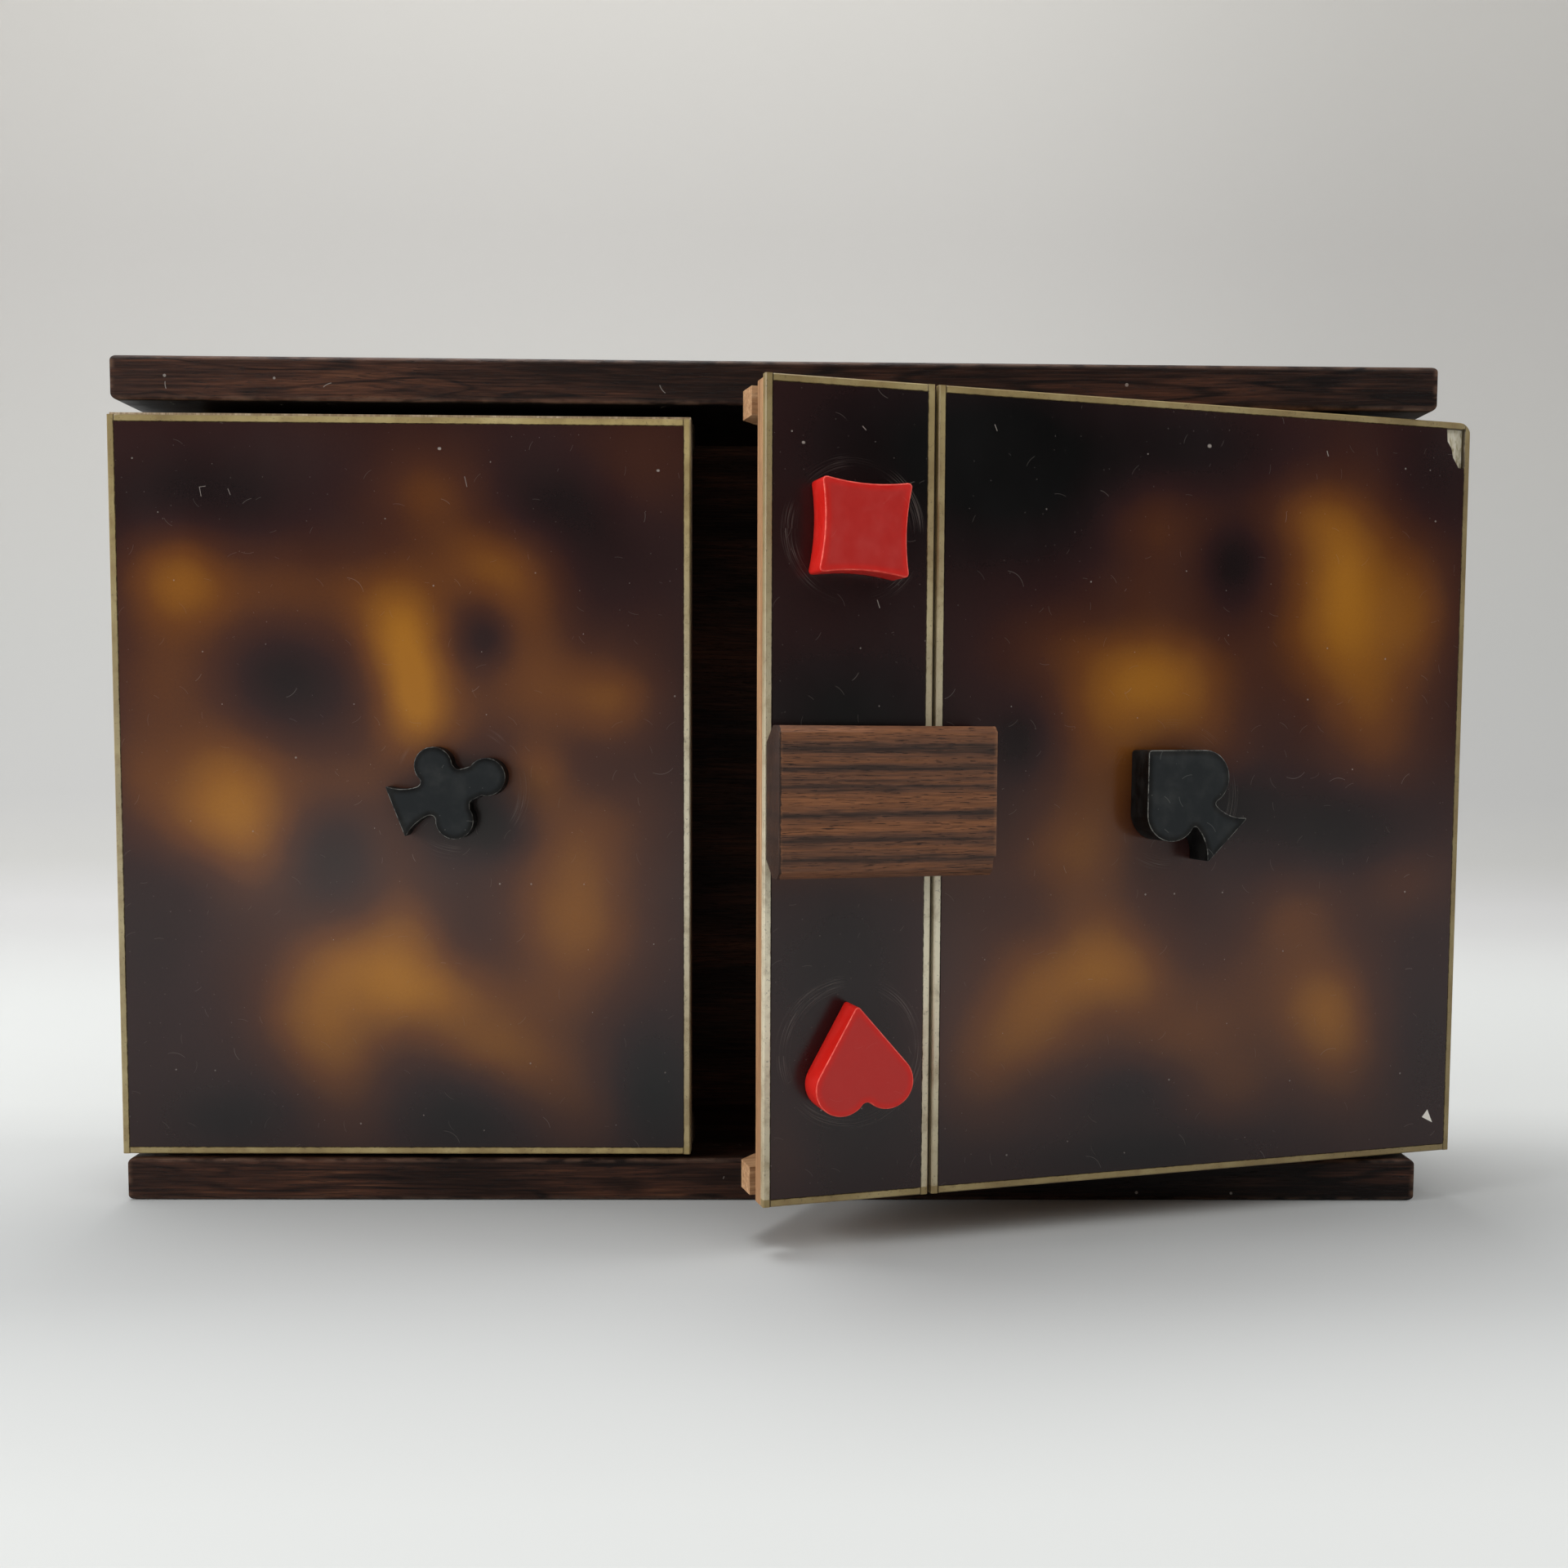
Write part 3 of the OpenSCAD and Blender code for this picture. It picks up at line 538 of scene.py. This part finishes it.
def creamMaterial(name, frameBox, turned, pale, dim, palest):
    # Pale and dim say how much of either the left and right uprights are, and are partly painted light and
    # painted shade; palest is a height and its reach
    look = creamLook
    material, place = startMaterial(name, turned)
    low, high = frameBox
    centre, half = (low + high) / 2, (high - low) / 2
    placeX, _, placeZ = parts(place)

    def sideToSide(left, right):
        return addNode("MapRange", {0: placeX, 1: low.x, 2: high.x, 3: left, 4: right})

    x, _, z = parts(vectorCalc("ABSOLUTE", vectorCalc("SUBTRACT", place, centre)))
    pastX = minus(x, half.x - look["width"])
    pastZ = minus(z, half.z - look["width"])
    ragged = minus(noiseAt(place, look["ragged"], 3.0, 0.7), 0.5)
    across = plus(calc("MAXIMUM", pastX, pastZ), times(ragged, look["raggedReach"]))
    # grime and painted shade along the sheet
    grimeAndShade = spread(across, *look["grimeAndShadeReach"], 1.0, 0.0)
    joint = times(spread(calc("ABSOLUTE", pastX), *look["jointReach"], 1.0, 0.0),
                  calc("GREATER_THAN", pastZ, 0.0))
    stain = spread(noiseAt(place, look["stainSize"], 4.0, 0.6), *look["stainRange"])
    outer = spread(across, *look["outerReach"])
    tone = ramp(noiseAt(place, look["toneSize"], 3.0, 0.6), look["tones"])
    # painted shade in part: the stringing dims from side to side
    tone = blend(sideToSide(*dim), tone, look["dim"])
    # painted light in part: the uprights are paler around the palest height
    upwards = calc("DIVIDE", minus(placeZ, low.z + palest[0]), palest[1])
    uprights = calc("LESS_THAN", pastZ, 0.0)
    paleness = times(bell(square(upwards)), uprights)
    tone = blend(times(paleness, sideToSide(*pale)), tone, look["pale"])
    tone = blend(times(stain, look["stainShare"]), tone, look["stain"])
    tone = blend(times(outer, look["outerShare"]), tone, look["stain"])
    dots = spread(noiseAt(place, look["dotSize"], 2.0, 0.6), *look["dotRange"])
    dirtAndShade = calc("MAXIMUM", times(grimeAndShade, look["grimeAndShadeShare"]), times(joint, look["jointShare"]))
    dotted = calc("MAXIMUM", dirtAndShade, times(dots, look["dotShare"]))
    tone = blend(dotted, tone, look["grimeAndShade"])
    height = times(dirtAndShade, look["depth"])
    return finishMaterial(material, tone, look["roughness"], height, Specular_IOR_Level=0.5)


# Red and black pieces; rim is 1 on their sides and edges and 0 in the middle of their faces

suitLook = {
    "red": {"face": colour(188, 42, 37), "rim": colour(206, 30, 22), "arris": colour(238, 100, 84),
            "dust": colour(196, 112, 104), "dustShare": 0.2, "haze": 0.06, "wearAndHighlightLow": 0.3, "roughness": 0.36,
            "glow": 0.12, "shine": 0.3},
    "black": {"face": colour(29, 33, 35), "rim": colour(5, 5, 5), "arris": colour(128, 128, 122),
              "dust": colour(120, 120, 116), "dustShare": 0.4, "haze": 0.08, "wearAndHighlightLow": 0.05,
              "roughness": 0.5, "glow": 0.0, "shine": 0.2}}

suitDetail = {
    "cloud": 3, "cloudShare": 0.5, "rimRange": (0.1, 0.9), "hairs": (3.2, 1.8, 0.045, 0.4),
    "specks": (1.9, 0.06, 0.25, 9.0), "hazeRange": (0.4, 0.8), "worn": 0.8, "wearAndHighlightRange": (0.38, 0.62),
    "wearAndHighlightHigh": 0.95, "rougher": (-0.05, 0.1), "dents": 1.4, "depth": 0.03,
    "glowReach": (0.0022, 0.0004, 0.0003), "glowScale": 0.6}


def suitMaterial(name, look, turned):
    detail = suitDetail
    material, place = startMaterial(name, turned)
    rim, arris = (addNode("Attribute", {}, "Fac", material.node_tree, attribute_name=layer)
                  for layer in ("rim", "arris"))
    cloud = noiseAt(place, detail["cloud"], 3.0, 0.6)
    uneven = times(minus(cloud, 0.5), detail["cloudShare"])
    tone = blend(spread(plus(rim, uneven), *detail["rimRange"]), look["face"], look["rim"])
    x, _, z = parts(place)
    flat = joined(x, z)
    dust = calc("MAXIMUM", marks(flat, *detail["hairs"]), specks(flat, *detail["specks"]))
    tone = blend(times(dust, look["dustShare"]), tone, look["dust"])
    tone = blend(spread(cloud, *detail["hazeRange"], 0.0, look["haze"]), tone, look["dust"])
    # the lighter arris is wear and partly a painted highlight
    worn = spread(noiseAt(place, detail["worn"], 3.0, 0.75), *detail["wearAndHighlightRange"],
                  look["wearAndHighlightLow"], detail["wearAndHighlightHigh"])
    tone = blend(times(arris, worn), tone, look["arris"])
    roughness = spread(cloud, 0.3, 0.7, *(look["roughness"] + more for more in detail["rougher"]))
    height = times(noiseAt(place, detail["dents"], 2.0), detail["depth"])
    return finishMaterial(material, tone, roughness, height, Specular_IOR_Level=look["shine"],
                          Subsurface_Weight=look["glow"], Subsurface_Radius=detail["glowReach"],
                          Subsurface_Scale=detail["glowScale"])


# Dull brass of the pins, washers and screws

brassLook = {"tones": [(0.3, colour(62, 48, 30)), (0.5, colour(112, 88, 50)), (0.72, colour(186, 150, 84))],
             "cloud": 1.6, "turning": (0.12, 0.12, 1.2), "depth": 0.01, "roughness": (0.5, 0.28)}


def brassMaterial():
    look = brassLook
    material, place = startMaterial("brass")
    cloud = noiseAt(place, look["cloud"], 4.0, 0.65)
    turning = noiseAt(place, look["turning"], 2.0)
    return finishMaterial(material, ramp(cloud, look["tones"]), spread(cloud, 0.3, 0.7, *look["roughness"]),
                          times(turning, look["depth"]), Metallic=1.0)


def dress(name, material):  # gives a CAD node its only material
    materials = nodes[name].data.materials
    materials.clear()
    materials.append(material)


print("materials")
leftFrame = ["left_outer_strip", "left_inner_strip", "left_top_strip", "left_bottom_strip"]
narrowFrame = ["narrow_free_strip", "narrow_inner_strip", "narrow_top_strip", "narrow_bottom_strip"]
wideFrame = ["wide_inner_strip", "wide_outer_strip", "wide_top_strip", "wide_bottom_strip"]
leftBox = closedBox(leftFrame)
narrowBox = closedBox(narrowFrame, True)
wideBox = closedBox(wideFrame, True)
rightBox = (narrowBox[0], wideBox[1])


rubbedRadius = {"club": 8.8, "diamond": 8.4, "heart": 8.9, "spade": 9.3}


def spotOn(node, frameBox, turned):  # a suit piece's centre on its door, and how far the scuffs reach
    low, high = closedBox([node + "_screw"], turned)
    middle = (low + high) / 2 - frameBox[0]
    return (middle.x, middle.z, rubbedRadius[node])


leftSheet = tortoiseshellMaterial("tortoiseshell_left", leftClouds, leftBox,
                                  [spotOn("club", leftBox, False)], False, leftMarks, leftPaintedSheen)
rightSheet = tortoiseshellMaterial("tortoiseshell_right", rightClouds, rightBox,
                                   [spotOn(suit, rightBox, True) for suit in ("diamond", "heart", "spade")],
                                   True, rightMarks, rightPaintedSheen, True)
dress("left_tortoiseshell", leftSheet)
for name in ("narrow_tortoiseshell", "wide_tortoiseshell"):
    dress(name, rightSheet)
for frameName, names, box, turned, pale, dim, palest in (
        ("left", leftFrame, leftBox, False, (0.2, 0.95), (0.4, 0.0), (42, 28)),
        ("narrow", narrowFrame, narrowBox, True, (0.95, 0.9), (0.5, 0.4), (30, 34)),
        ("wide", wideFrame, wideBox, True, (0.95, 0.0), (0.4, 0.6), (34, 32))):
    stringing = creamMaterial("stringing_" + frameName, box, turned, pale, dim, palest)
    for name in names:
        dress(name, stringing)
for name, look in (("top_board", topBoardLook), ("bottom_board", bottomBoardLook)):
    dress(name, woodMaterial("rosewood_" + name, look, box=closedBox([name])))
dress("back_panel", woodMaterial("rosewood_back", insideLook))
for name, turned in (("left_end_wall", False), ("right_end_wall", True)):
    dress(name, woodMaterial("rosewood_" + name, endWallLook, "Z", turned))
shelfShadeDepth = 1.0  # how far in from its free end a left shelf gets painted shade
for name, axis in (
        ("left_core", "Z"), ("left_top_shelf", "X"), ("left_bottom_shelf", "X"),
        ("right_core", "Z"), ("right_top_shelf", "X"), ("right_bottom_shelf", "X")):
    darkSpan = (narrowBox[1].x, wideBox[0].x) if name == "right_core" else None
    if name in ("left_top_shelf", "left_bottom_shelf"):
        darkSpan = (closedBox([name])[1].x - shelfShadeDepth, leftBox[1].x)
    look = greyedLitLook if name == "left_core" else limewoodLook
    dress(name, woodMaterial("limewood_" + name, dict(look, seed=len(name) * 1.7), axis,
                             name.startswith("right"), darkSpan=darkSpan))
brass = brassMaterial()
for name in nodes:
    if name.endswith(("_pivot", "_washer", "_screw")):
        dress(name, brass)


# New pieces start from the CAD solid's own shape

shaping = {"merge": 0.01, "flat": math.radians(1.0), "sharp": math.radians(35), "cut": 0.0001}


def copyNode(name):  # the node's mesh with its triangles joined into whole faces again
    shape = bmesh.new()
    shape.from_mesh(nodes[name].data)
    bmesh.ops.remove_doubles(shape, verts=shape.verts, dist=shaping["merge"] * mm)
    bmesh.ops.dissolve_limit(shape, angle_limit=shaping["flat"], verts=shape.verts, edges=shape.edges)
    return shape


def makePiece(name, shape, body, node, material):
    bmesh.ops.recalc_face_normals(shape, faces=shape.faces)
    mesh = bpy.data.meshes.new(name)
    shape.to_mesh(mesh)
    shape.free()
    mesh.shade_smooth()
    mesh.set_sharp_from_angle(angle=shaping["sharp"])
    piece = bpy.data.objects.new(name, mesh)
    bpy.context.scene.collection.objects.link(piece)
    mesh.materials.append(material)
    weigh = piece.modifiers.new("flat_faces", "WEIGHTED_NORMAL")
    weigh.keep_sharp = True
    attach(piece, body)
    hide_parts(node)


def roundEdges(shape, edges, radius, steps):
    bmesh.ops.bevel(shape, geom=edges, offset=radius * mm, offset_type="OFFSET", segments=steps, profile=0.5,
                    affect="EDGES", material=-1, clamp_overlap=True)


def cutWith(shape, place, normal, **settings):
    whole = shape.verts[:] + shape.edges[:] + shape.faces[:]
    return bmesh.ops.bisect_plane(shape, geom=whole, dist=shaping["cut"] * mm, plane_co=place, plane_no=normal,
                                  **settings)["geom_cut"]


suitPiece = {"rim": 0.9, "spacing": 0.45, "clear": 0.6, "tolerance": 0.02, "corner": math.radians(40),
             "cornerSteps": 5, "arrisSteps": 3, "arris": (0.05, 0.95), "room": 1.2, "straight": 0.99}


def outwardAxis(turned):  # the way the door faces at rest
    return (openRight if turned else Matrix()).to_3x3() @ Vector((0, -1, 0))


def isUpright(edge, outward):  # the edge runs straight out from the door
    return abs((edge.verts[0].co - edge.verts[1].co).normalized() @ outward) > suitPiece["straight"]


def clearBeside(shape, corners, reach, outward):  # short facets beside a corner go, so that it can be rounded
    def middle(edge):
        return (edge.verts[0].co + edge.verts[1].co) / 2

    places = [middle(edge) for edge in corners]
    near = [edge for edge in shape.edges if edge not in corners and isUpright(edge, outward)
            and min((middle(edge) - place).length for place in places) < reach * mm]
    bmesh.ops.dissolve_edges(shape, edges=near, use_verts=True)


def mergeClose(shape):
    reach = shaping["merge"] * mm
    bmesh.ops.remove_doubles(shape, verts=shape.verts, dist=reach)
    bmesh.ops.dissolve_degenerate(shape, dist=reach, edges=shape.edges)


def gridFace(shape, face, outward, rim, edge):  # small triangles that know how near the rim they are
    across = Vector((-outward.y, outward.x, 0.0))
    depth = face.calc_center_median() @ outward
    outline = list(face.verts)
    flat = [Vector((vertex.co @ across, vertex.co.z)) for vertex in outline]
    low, high = Vector(map(min, *flat)), Vector(map(max, *flat))
    step = suitPiece["spacing"] * mm

    def fromRim(point):
        gaps = []
        for start, end in zip(flat, flat[1:] + flat[:1]):
            share = intersect_point_line(point, start, end)[1]
            gaps.append((point - start.lerp(end, min(1.0, max(0.0, share)))).length)
        return min(gaps)

    inner = []
    for row in range(1, int((high.y - low.y) / step) + 1):
        for column in range(1, int((high.x - low.x) / step) + 1):
            point = low + Vector((column + 0.5 * (row % 2), row)) * step
            if fromRim(point) > step * suitPiece["clear"]:
                inner.append(point)
    points, _, triangles, origins = delaunay_2d_cdt(
        flat + inner, [], [list(range(len(flat)))], 1, step * 0.01)[:4]
    bmesh.ops.delete(shape, geom=[face], context="FACES_ONLY")
    made = {}
    for index in sorted({index for triangle in triangles for index in triangle}):
        known = [origin for origin in origins[index] if origin < len(outline)]
        if known:
            made[index] = outline[known[0]]
            continue
        point = points[index]
        near = 1 - min(1.0, fromRim(point) / (suitPiece["rim"] * mm))
        made[index] = shape.verts.new(across * point.x + outward * depth + Vector((0, 0, point.y)))
        made[index][rim] = grey(near)
        made[index][edge] = grey(0)
    for triangle in triangles:
        shape.faces.new([made[index] for index in triangle])


def addSuit(node, look, turned, corner, notch, arris):  # radii of corners, notches and the front edge
    shape = copyNode(node)
    outward = outwardAxis(turned)
    front = max(vertex.co @ outward for vertex in shape.verts) - suitPiece["tolerance"] * mm
    bmesh.ops.recalc_face_normals(shape, faces=shape.faces)
    corners = [edge for edge in shape.edges if edge.calc_face_angle(0) > suitPiece["corner"]
               and isUpright(edge, outward)]
    clearBeside(shape, corners, max(corner, notch) * suitPiece["room"], outward)
    notches = [edge for edge in corners if edge.calc_face_angle_signed(0) < 0]
    roundEdges(shape, [edge for edge in corners if edge not in notches], corner, suitPiece["cornerSteps"])
    roundEdges(shape, [edge for edge in notches if edge.is_valid], notch, suitPiece["cornerSteps"])
    mergeClose(shape)
    rimEdges = [edge for edge in shape.edges if all(vertex.co @ outward > front for vertex in edge.verts)]
    roundEdges(shape, rimEdges, arris, suitPiece["arrisSteps"])
    mergeClose(shape)
    face = max(shape.faces, key=lambda f: f.calc_area() * (f.normal @ outward > suitPiece["straight"])
               * (f.calc_center_median() @ outward > front))
    rim = shape.verts.layers.float_color.new("rim")
    edge = shape.verts.layers.float_color.new("arris")
    top = max(vertex.co @ outward for vertex in shape.verts)
    falls = {vertex: top - vertex.co @ outward for vertex in shape.verts}
    deepest = max(fall for fall in falls.values() if fall < 2 * arris * mm)
    least, most = suitPiece["arris"]
    for vertex, fall in falls.items():
        onEdge = float(least < fall / deepest < most)
        vertex[rim] = grey(1)
        vertex[edge] = grey(onEdge)
    gridFace(shape, face, outward, rim, edge)
    material = suitMaterial(node + "_finish", suitLook[look], turned)
    makePiece(node + "_piece", shape, node, node, material)


for node, look, turned, corner, notch, arris in (
        ("diamond", "red", True, 0.8, 0.5, 0.2), ("heart", "red", True, 0.6, 1.0, 0.18),
        ("spade", "black", True, 0.45, 0.6, 0.22), ("club", "black", False, 0.3, 0.5, 0.28)):
    addSuit(node, look, turned, corner, notch, arris)
print("suit pieces")

buttonPiece = {"rounding": 0.22, "steps": 2, "shortest": 1.2, "angle": math.radians(30), "notchUp": 2.2,
               "notchIn": 0.45}


def cutNotch(shape, corner):  # takes off what is right of and below a place on the closed leaf
    place = openRight @ corner
    right = openRight.to_3x3() @ Vector((1, 0, 0))
    for normal in (right, Vector((0, 0, -1))):
        cutWith(shape, place, normal)
    lost = [face for face in shape.faces if (face.calc_center_median() - place) @ right > 0
            and face.calc_center_median().z < place.z]
    bmesh.ops.delete(shape, geom=lost, context="FACES")
    inner = sorted(shape.verts, key=lambda v: abs((v.co - place) @ right) + abs(v.co.z - place.z))[:2]
    shape.edges.new(inner)
    bmesh.ops.edgenet_fill(shape, edges=[edge for edge in shape.edges if len(edge.link_faces) < 2])


def addButton():
    shape = copyNode("turn_button")
    box = closedBox(["turn_button"], True)
    cutNotch(shape, Vector((box[1].x - buttonPiece["notchIn"], 0, box[0].z + buttonPiece["notchUp"])) * mm)
    edges = [edge for edge in shape.edges if edge.calc_face_angle(0) > buttonPiece["angle"]
             and edge.calc_length() > buttonPiece["shortest"] * mm]
    roundEdges(shape, edges, buttonPiece["rounding"], buttonPiece["steps"])
    wood = woodMaterial("turn_button_wood", buttonLook, "X", True, box, bands=buttonLook["bands"])
    makePiece("turn_button_piece", shape, "turn_button", "turn_button", wood)


addButton()
print("turn-button")


def addChippedSheet():  # the wide sheet, with its top outer corner broken away down to the ledge
    low, high = closedBox(["wide_tortoiseshell"], True)
    corner = rightBox[0]
    broken = [Vector((corner.x + across, high.y, corner.z + up)) for across, up in chip["edge"]]
    broken[0].z, broken[-1].x = high.z, high.x
    shape = bmesh.new()
    edge = [shape.verts.new(point * mm) for point in broken]
    outer, lower, near, upper = [shape.verts.new(Vector((x, high.y, z)) * mm) for x, z in (
        (high.x, high.z), (high.x, low.z), (low.x, low.z), (low.x, high.z))]
    faces = [shape.faces.new(edge + [lower, near, upper]), shape.faces.new(edge[::-1] + [outer])]
    front = faces
    for depth in (high.y - low.y - chip["ledge"], chip["ledge"]):  # first both faces, then all but the corner
        made = bmesh.ops.extrude_face_region(shape, geom=front)["geom"]
        moved = [item for item in made if isinstance(item, bmesh.types.BMVert)]
        bmesh.ops.translate(shape, verts=moved, vec=(0, -depth * mm, 0))
        if front is not faces:  # the second one leaves its face inside
            bmesh.ops.delete(shape, geom=front, context="FACES_ONLY")
        made = [item for item in made if isinstance(item, bmesh.types.BMFace)]
        front = [max(made, key=lambda f: f.calc_area())]
    bmesh.ops.transform(shape, matrix=openRight, verts=shape.verts)
    makePiece("wide_sheet_chipped", shape, "right_leaf", "wide_tortoiseshell", rightSheet)


addChippedSheet()
print("chipped sheet")

wornCorner = {"radius": 1.9, "steps": 8}


def wearCorner(node):  # rounds the top outer corner of the right door, cut by cut
    radius, steps = wornCorner["radius"], wornCorner["steps"]
    high = wideBox[1]
    centre = Vector((high.x - radius, 0, high.z - radius))
    shape = copyNode(node)
    bmesh.ops.transform(shape, matrix=openRight.inverted(), verts=shape.verts)
    for step in range(steps):
        angle = math.radians(90) * (step + 0.5) / steps
        outward = Vector((math.cos(angle), 0, math.sin(angle)))
        cut = cutWith(shape, (centre + outward * radius) * mm, outward, clear_outer=True)
        rim = [item for item in cut if isinstance(item, bmesh.types.BMEdge)]
        if rim:
            bmesh.ops.edgeloop_fill(shape, edges=rim)
    bmesh.ops.transform(shape, matrix=openRight, verts=shape.verts)
    makePiece(node + "_worn", shape, "right_leaf", node, nodes[node].data.materials[0])


for node, slot in (("wide_outer_strip", "cream"), ("wide_top_strip", "cream"), ("right_core", "limewood")):
    wearCorner(node)
print("worn corner")


# Floor, backdrop, lights and camera

studio = {
    "wide": 4.0, "deep": 0.28, "tall": 2.0, "near": 2.5, "bend": 0.3, "bendSteps": 24, "reach": 1000.0,
    # Tones from the front of the floor to the top of the backdrop, at millimetres from the box's middle; the
    # dip from -58 to -22 is a painted shadow in front of the box, and the backdrop's changing tones are
    # painted light and shade
    "tones": [(-420, colour(236, 236, 233)), (-180, colour(204, 206, 205)), (-110, colour(203, 205, 204)),
              (-58, colour(183, 185, 185)), (-22, colour(187, 189, 189)), (40, colour(204, 206, 205)),
              (150, colour(203, 205, 204)), (330, colour(196, 196, 196)), (390, colour(184, 184, 182)),
              (460, colour(179, 179, 178)), (600, colour(181, 181, 179)), (750, colour(185, 184, 181)),
              (870, colour(188, 186, 183)), (980, colour(193, 191, 187))],
    "right": (60, 300), "behind": (180, 380), "rightPaintedShade": 0.9, "roughness": 0.9, "shine": 0.2}


def addSweep():
    shape = bmesh.new()
    ends = [Vector((0, -studio["near"], 0)), Vector((0, studio["deep"], 0))]
    path = [shape.verts.new(end - Vector((studio["wide"] / 2, 0, 0))) for end in ends]
    centre = Vector((-studio["wide"] / 2, studio["deep"], studio["bend"]))
    shape.edges.new(path)
    spun = bmesh.ops.spin(shape, geom=[path[1]], cent=centre, axis=(1, 0, 0), angle=math.radians(90),
                          steps=studio["bendSteps"], use_merge=False)
    last = [item for item in spun["geom_last"] if isinstance(item, bmesh.types.BMVert)][0]
    wall = bmesh.ops.extrude_vert_indiv(shape, verts=[last])["verts"][0]
    wall.co.z += studio["tall"]
    out = bmesh.ops.extrude_edge_only(shape, edges=shape.edges[:])
    moved = [item for item in out["geom"] if isinstance(item, bmesh.types.BMVert)]
    bmesh.ops.translate(shape, verts=moved, vec=(studio["wide"], 0, 0))
    bmesh.ops.recalc_face_normals(shape, faces=shape.faces)
    mesh = bpy.data.meshes.new("sweep")
    shape.to_mesh(mesh)
    shape.free()
    mesh.shade_smooth()
    sweep = bpy.data.objects.new("sweep", mesh)
    bpy.context.scene.collection.objects.link(sweep)
    material, place = startMaterial("paper")
    x, y, z = parts(place)
    reach = studio["reach"]
    back = plus(y, z)
    along = addNode("MapRange", {0: back, 1: -reach, 2: reach, 3: 0.0, 4: 1.0})
    stops = [((distance + reach) / (2 * reach), tone) for distance, tone in studio["tones"]]
    behind = times(spread(back, *studio["behind"]),
                   spread(x, *studio["right"]))  # painted shade: the backdrop is dimmer on the right
    tone = blend(behind, ramp(along, stops), grey(studio["rightPaintedShade"]), "MULTIPLY")
    finishMaterial(material, tone, studio["roughness"], Specular_IOR_Level=studio["shine"])
    mesh.materials.append(material)


addSweep()

lampAim = (0, 0, 0.05)
lamps = {
    "overhead": {"place": (-0.15, 0.14, 0.9), "size": (0.6, 0.3), "power": 5.6},
    "left": {"place": (-0.75, -0.3, 0.3), "size": (0.4, 0.4), "power": 4.2},
    "far_right": {"place": (0.9, -0.05, 0.45), "size": (0.4, 0.4), "power": 2.6},
    "right": {"place": (0.35, -0.55, 0.85), "size": (0.5, 0.5), "power": 0.8}}


def addLamp(name, lamp):
    light = bpy.data.lights.new(name, "AREA")
    light.shape = "RECTANGLE"
    light.size, light.size_y = lamp["size"]
    light.energy = lamp["power"]
    holder = bpy.data.objects.new(name, light)
    holder.location = lamp["place"]
    holder.rotation_euler = (Vector(lampAim) - Vector(lamp["place"])).to_track_quat("-Z", "Y").to_euler()
    bpy.context.scene.collection.objects.link(holder)


for name, lamp in lamps.items():
    addLamp(name, lamp)

room = {"light": 0.56, "dim": 0.03, "sides": (0.0, 0.55), "height": (0.25, 0.6),
        "glow": 0.5, "horizon": (0.0, 0.065), "across": (0.1, 0.4), "tint": (1.0, 0.995, 0.98, 1)}


def addRoom():  # a pale room with a pale horizon, dim only where the doors would mirror it
    world = bpy.data.worlds.new("room")
    world.use_nodes = True
    tree = world.node_tree
    x, y, z = parts(addNode("TexCoord", {}, "Generated", tree))
    ahead = spread(y, -room["sides"][1], -room["sides"][0], 1.0, 0.0)
    low = spread(z, *room["height"], 1.0, 0.0)
    strength = spread(times(ahead, low), 0.0, 1.0, room["light"], room["dim"])
    glow = times(spread(z, *room["horizon"], room["glow"], 0.0), spread(x, *room["across"], 1.0, 0.0))
    strength = plus(strength, times(glow, ahead))
    tree.links.new(strength, tree.nodes["Background"].inputs[1])
    tree.nodes["Background"].inputs[0].default_value = room["tint"]
    bpy.context.scene.world = world


addRoom()

# Camera, found by fitting it to the corners of the boards and doors in the photograph
view = {"place": (0.00263, -0.24484, 0.06415), "turn": -1.029, "tilt": -3.957, "roll": -0.330,
        "focal": 2074.4, "centre": (1012.2, 1033.3), "image": 1920.0, "sensor": 36.0, "clip": (0.01, 20.0)}


def addCamera():
    camera = bpy.data.cameras.new("camera")
    camera.sensor_width = view["sensor"]
    camera.lens = view["sensor"] * view["focal"] / view["image"]
    camera.shift_x = (view["image"] / 2 - view["centre"][0]) / view["image"]
    camera.shift_y = (view["centre"][1] - view["image"] / 2) / view["image"]
    camera.clip_start, camera.clip_end = view["clip"]
    holder = bpy.data.objects.new("camera", camera)
    turn, tilt, roll = (Matrix.Rotation(math.radians(view[name]), 4, axis) for name, axis in (
        ("turn", "Z"), ("tilt", "X"), ("roll", "Y")))
    turn = turn @ tilt @ roll @ Matrix.Rotation(math.radians(90), 4, "X")
    holder.matrix_world = Matrix.Translation(view["place"]) @ turn
    bpy.context.scene.collection.objects.link(holder)
    bpy.context.scene.camera = holder


addCamera()
bpy.context.scene.view_settings.view_transform = "Standard"
print("stage and camera")
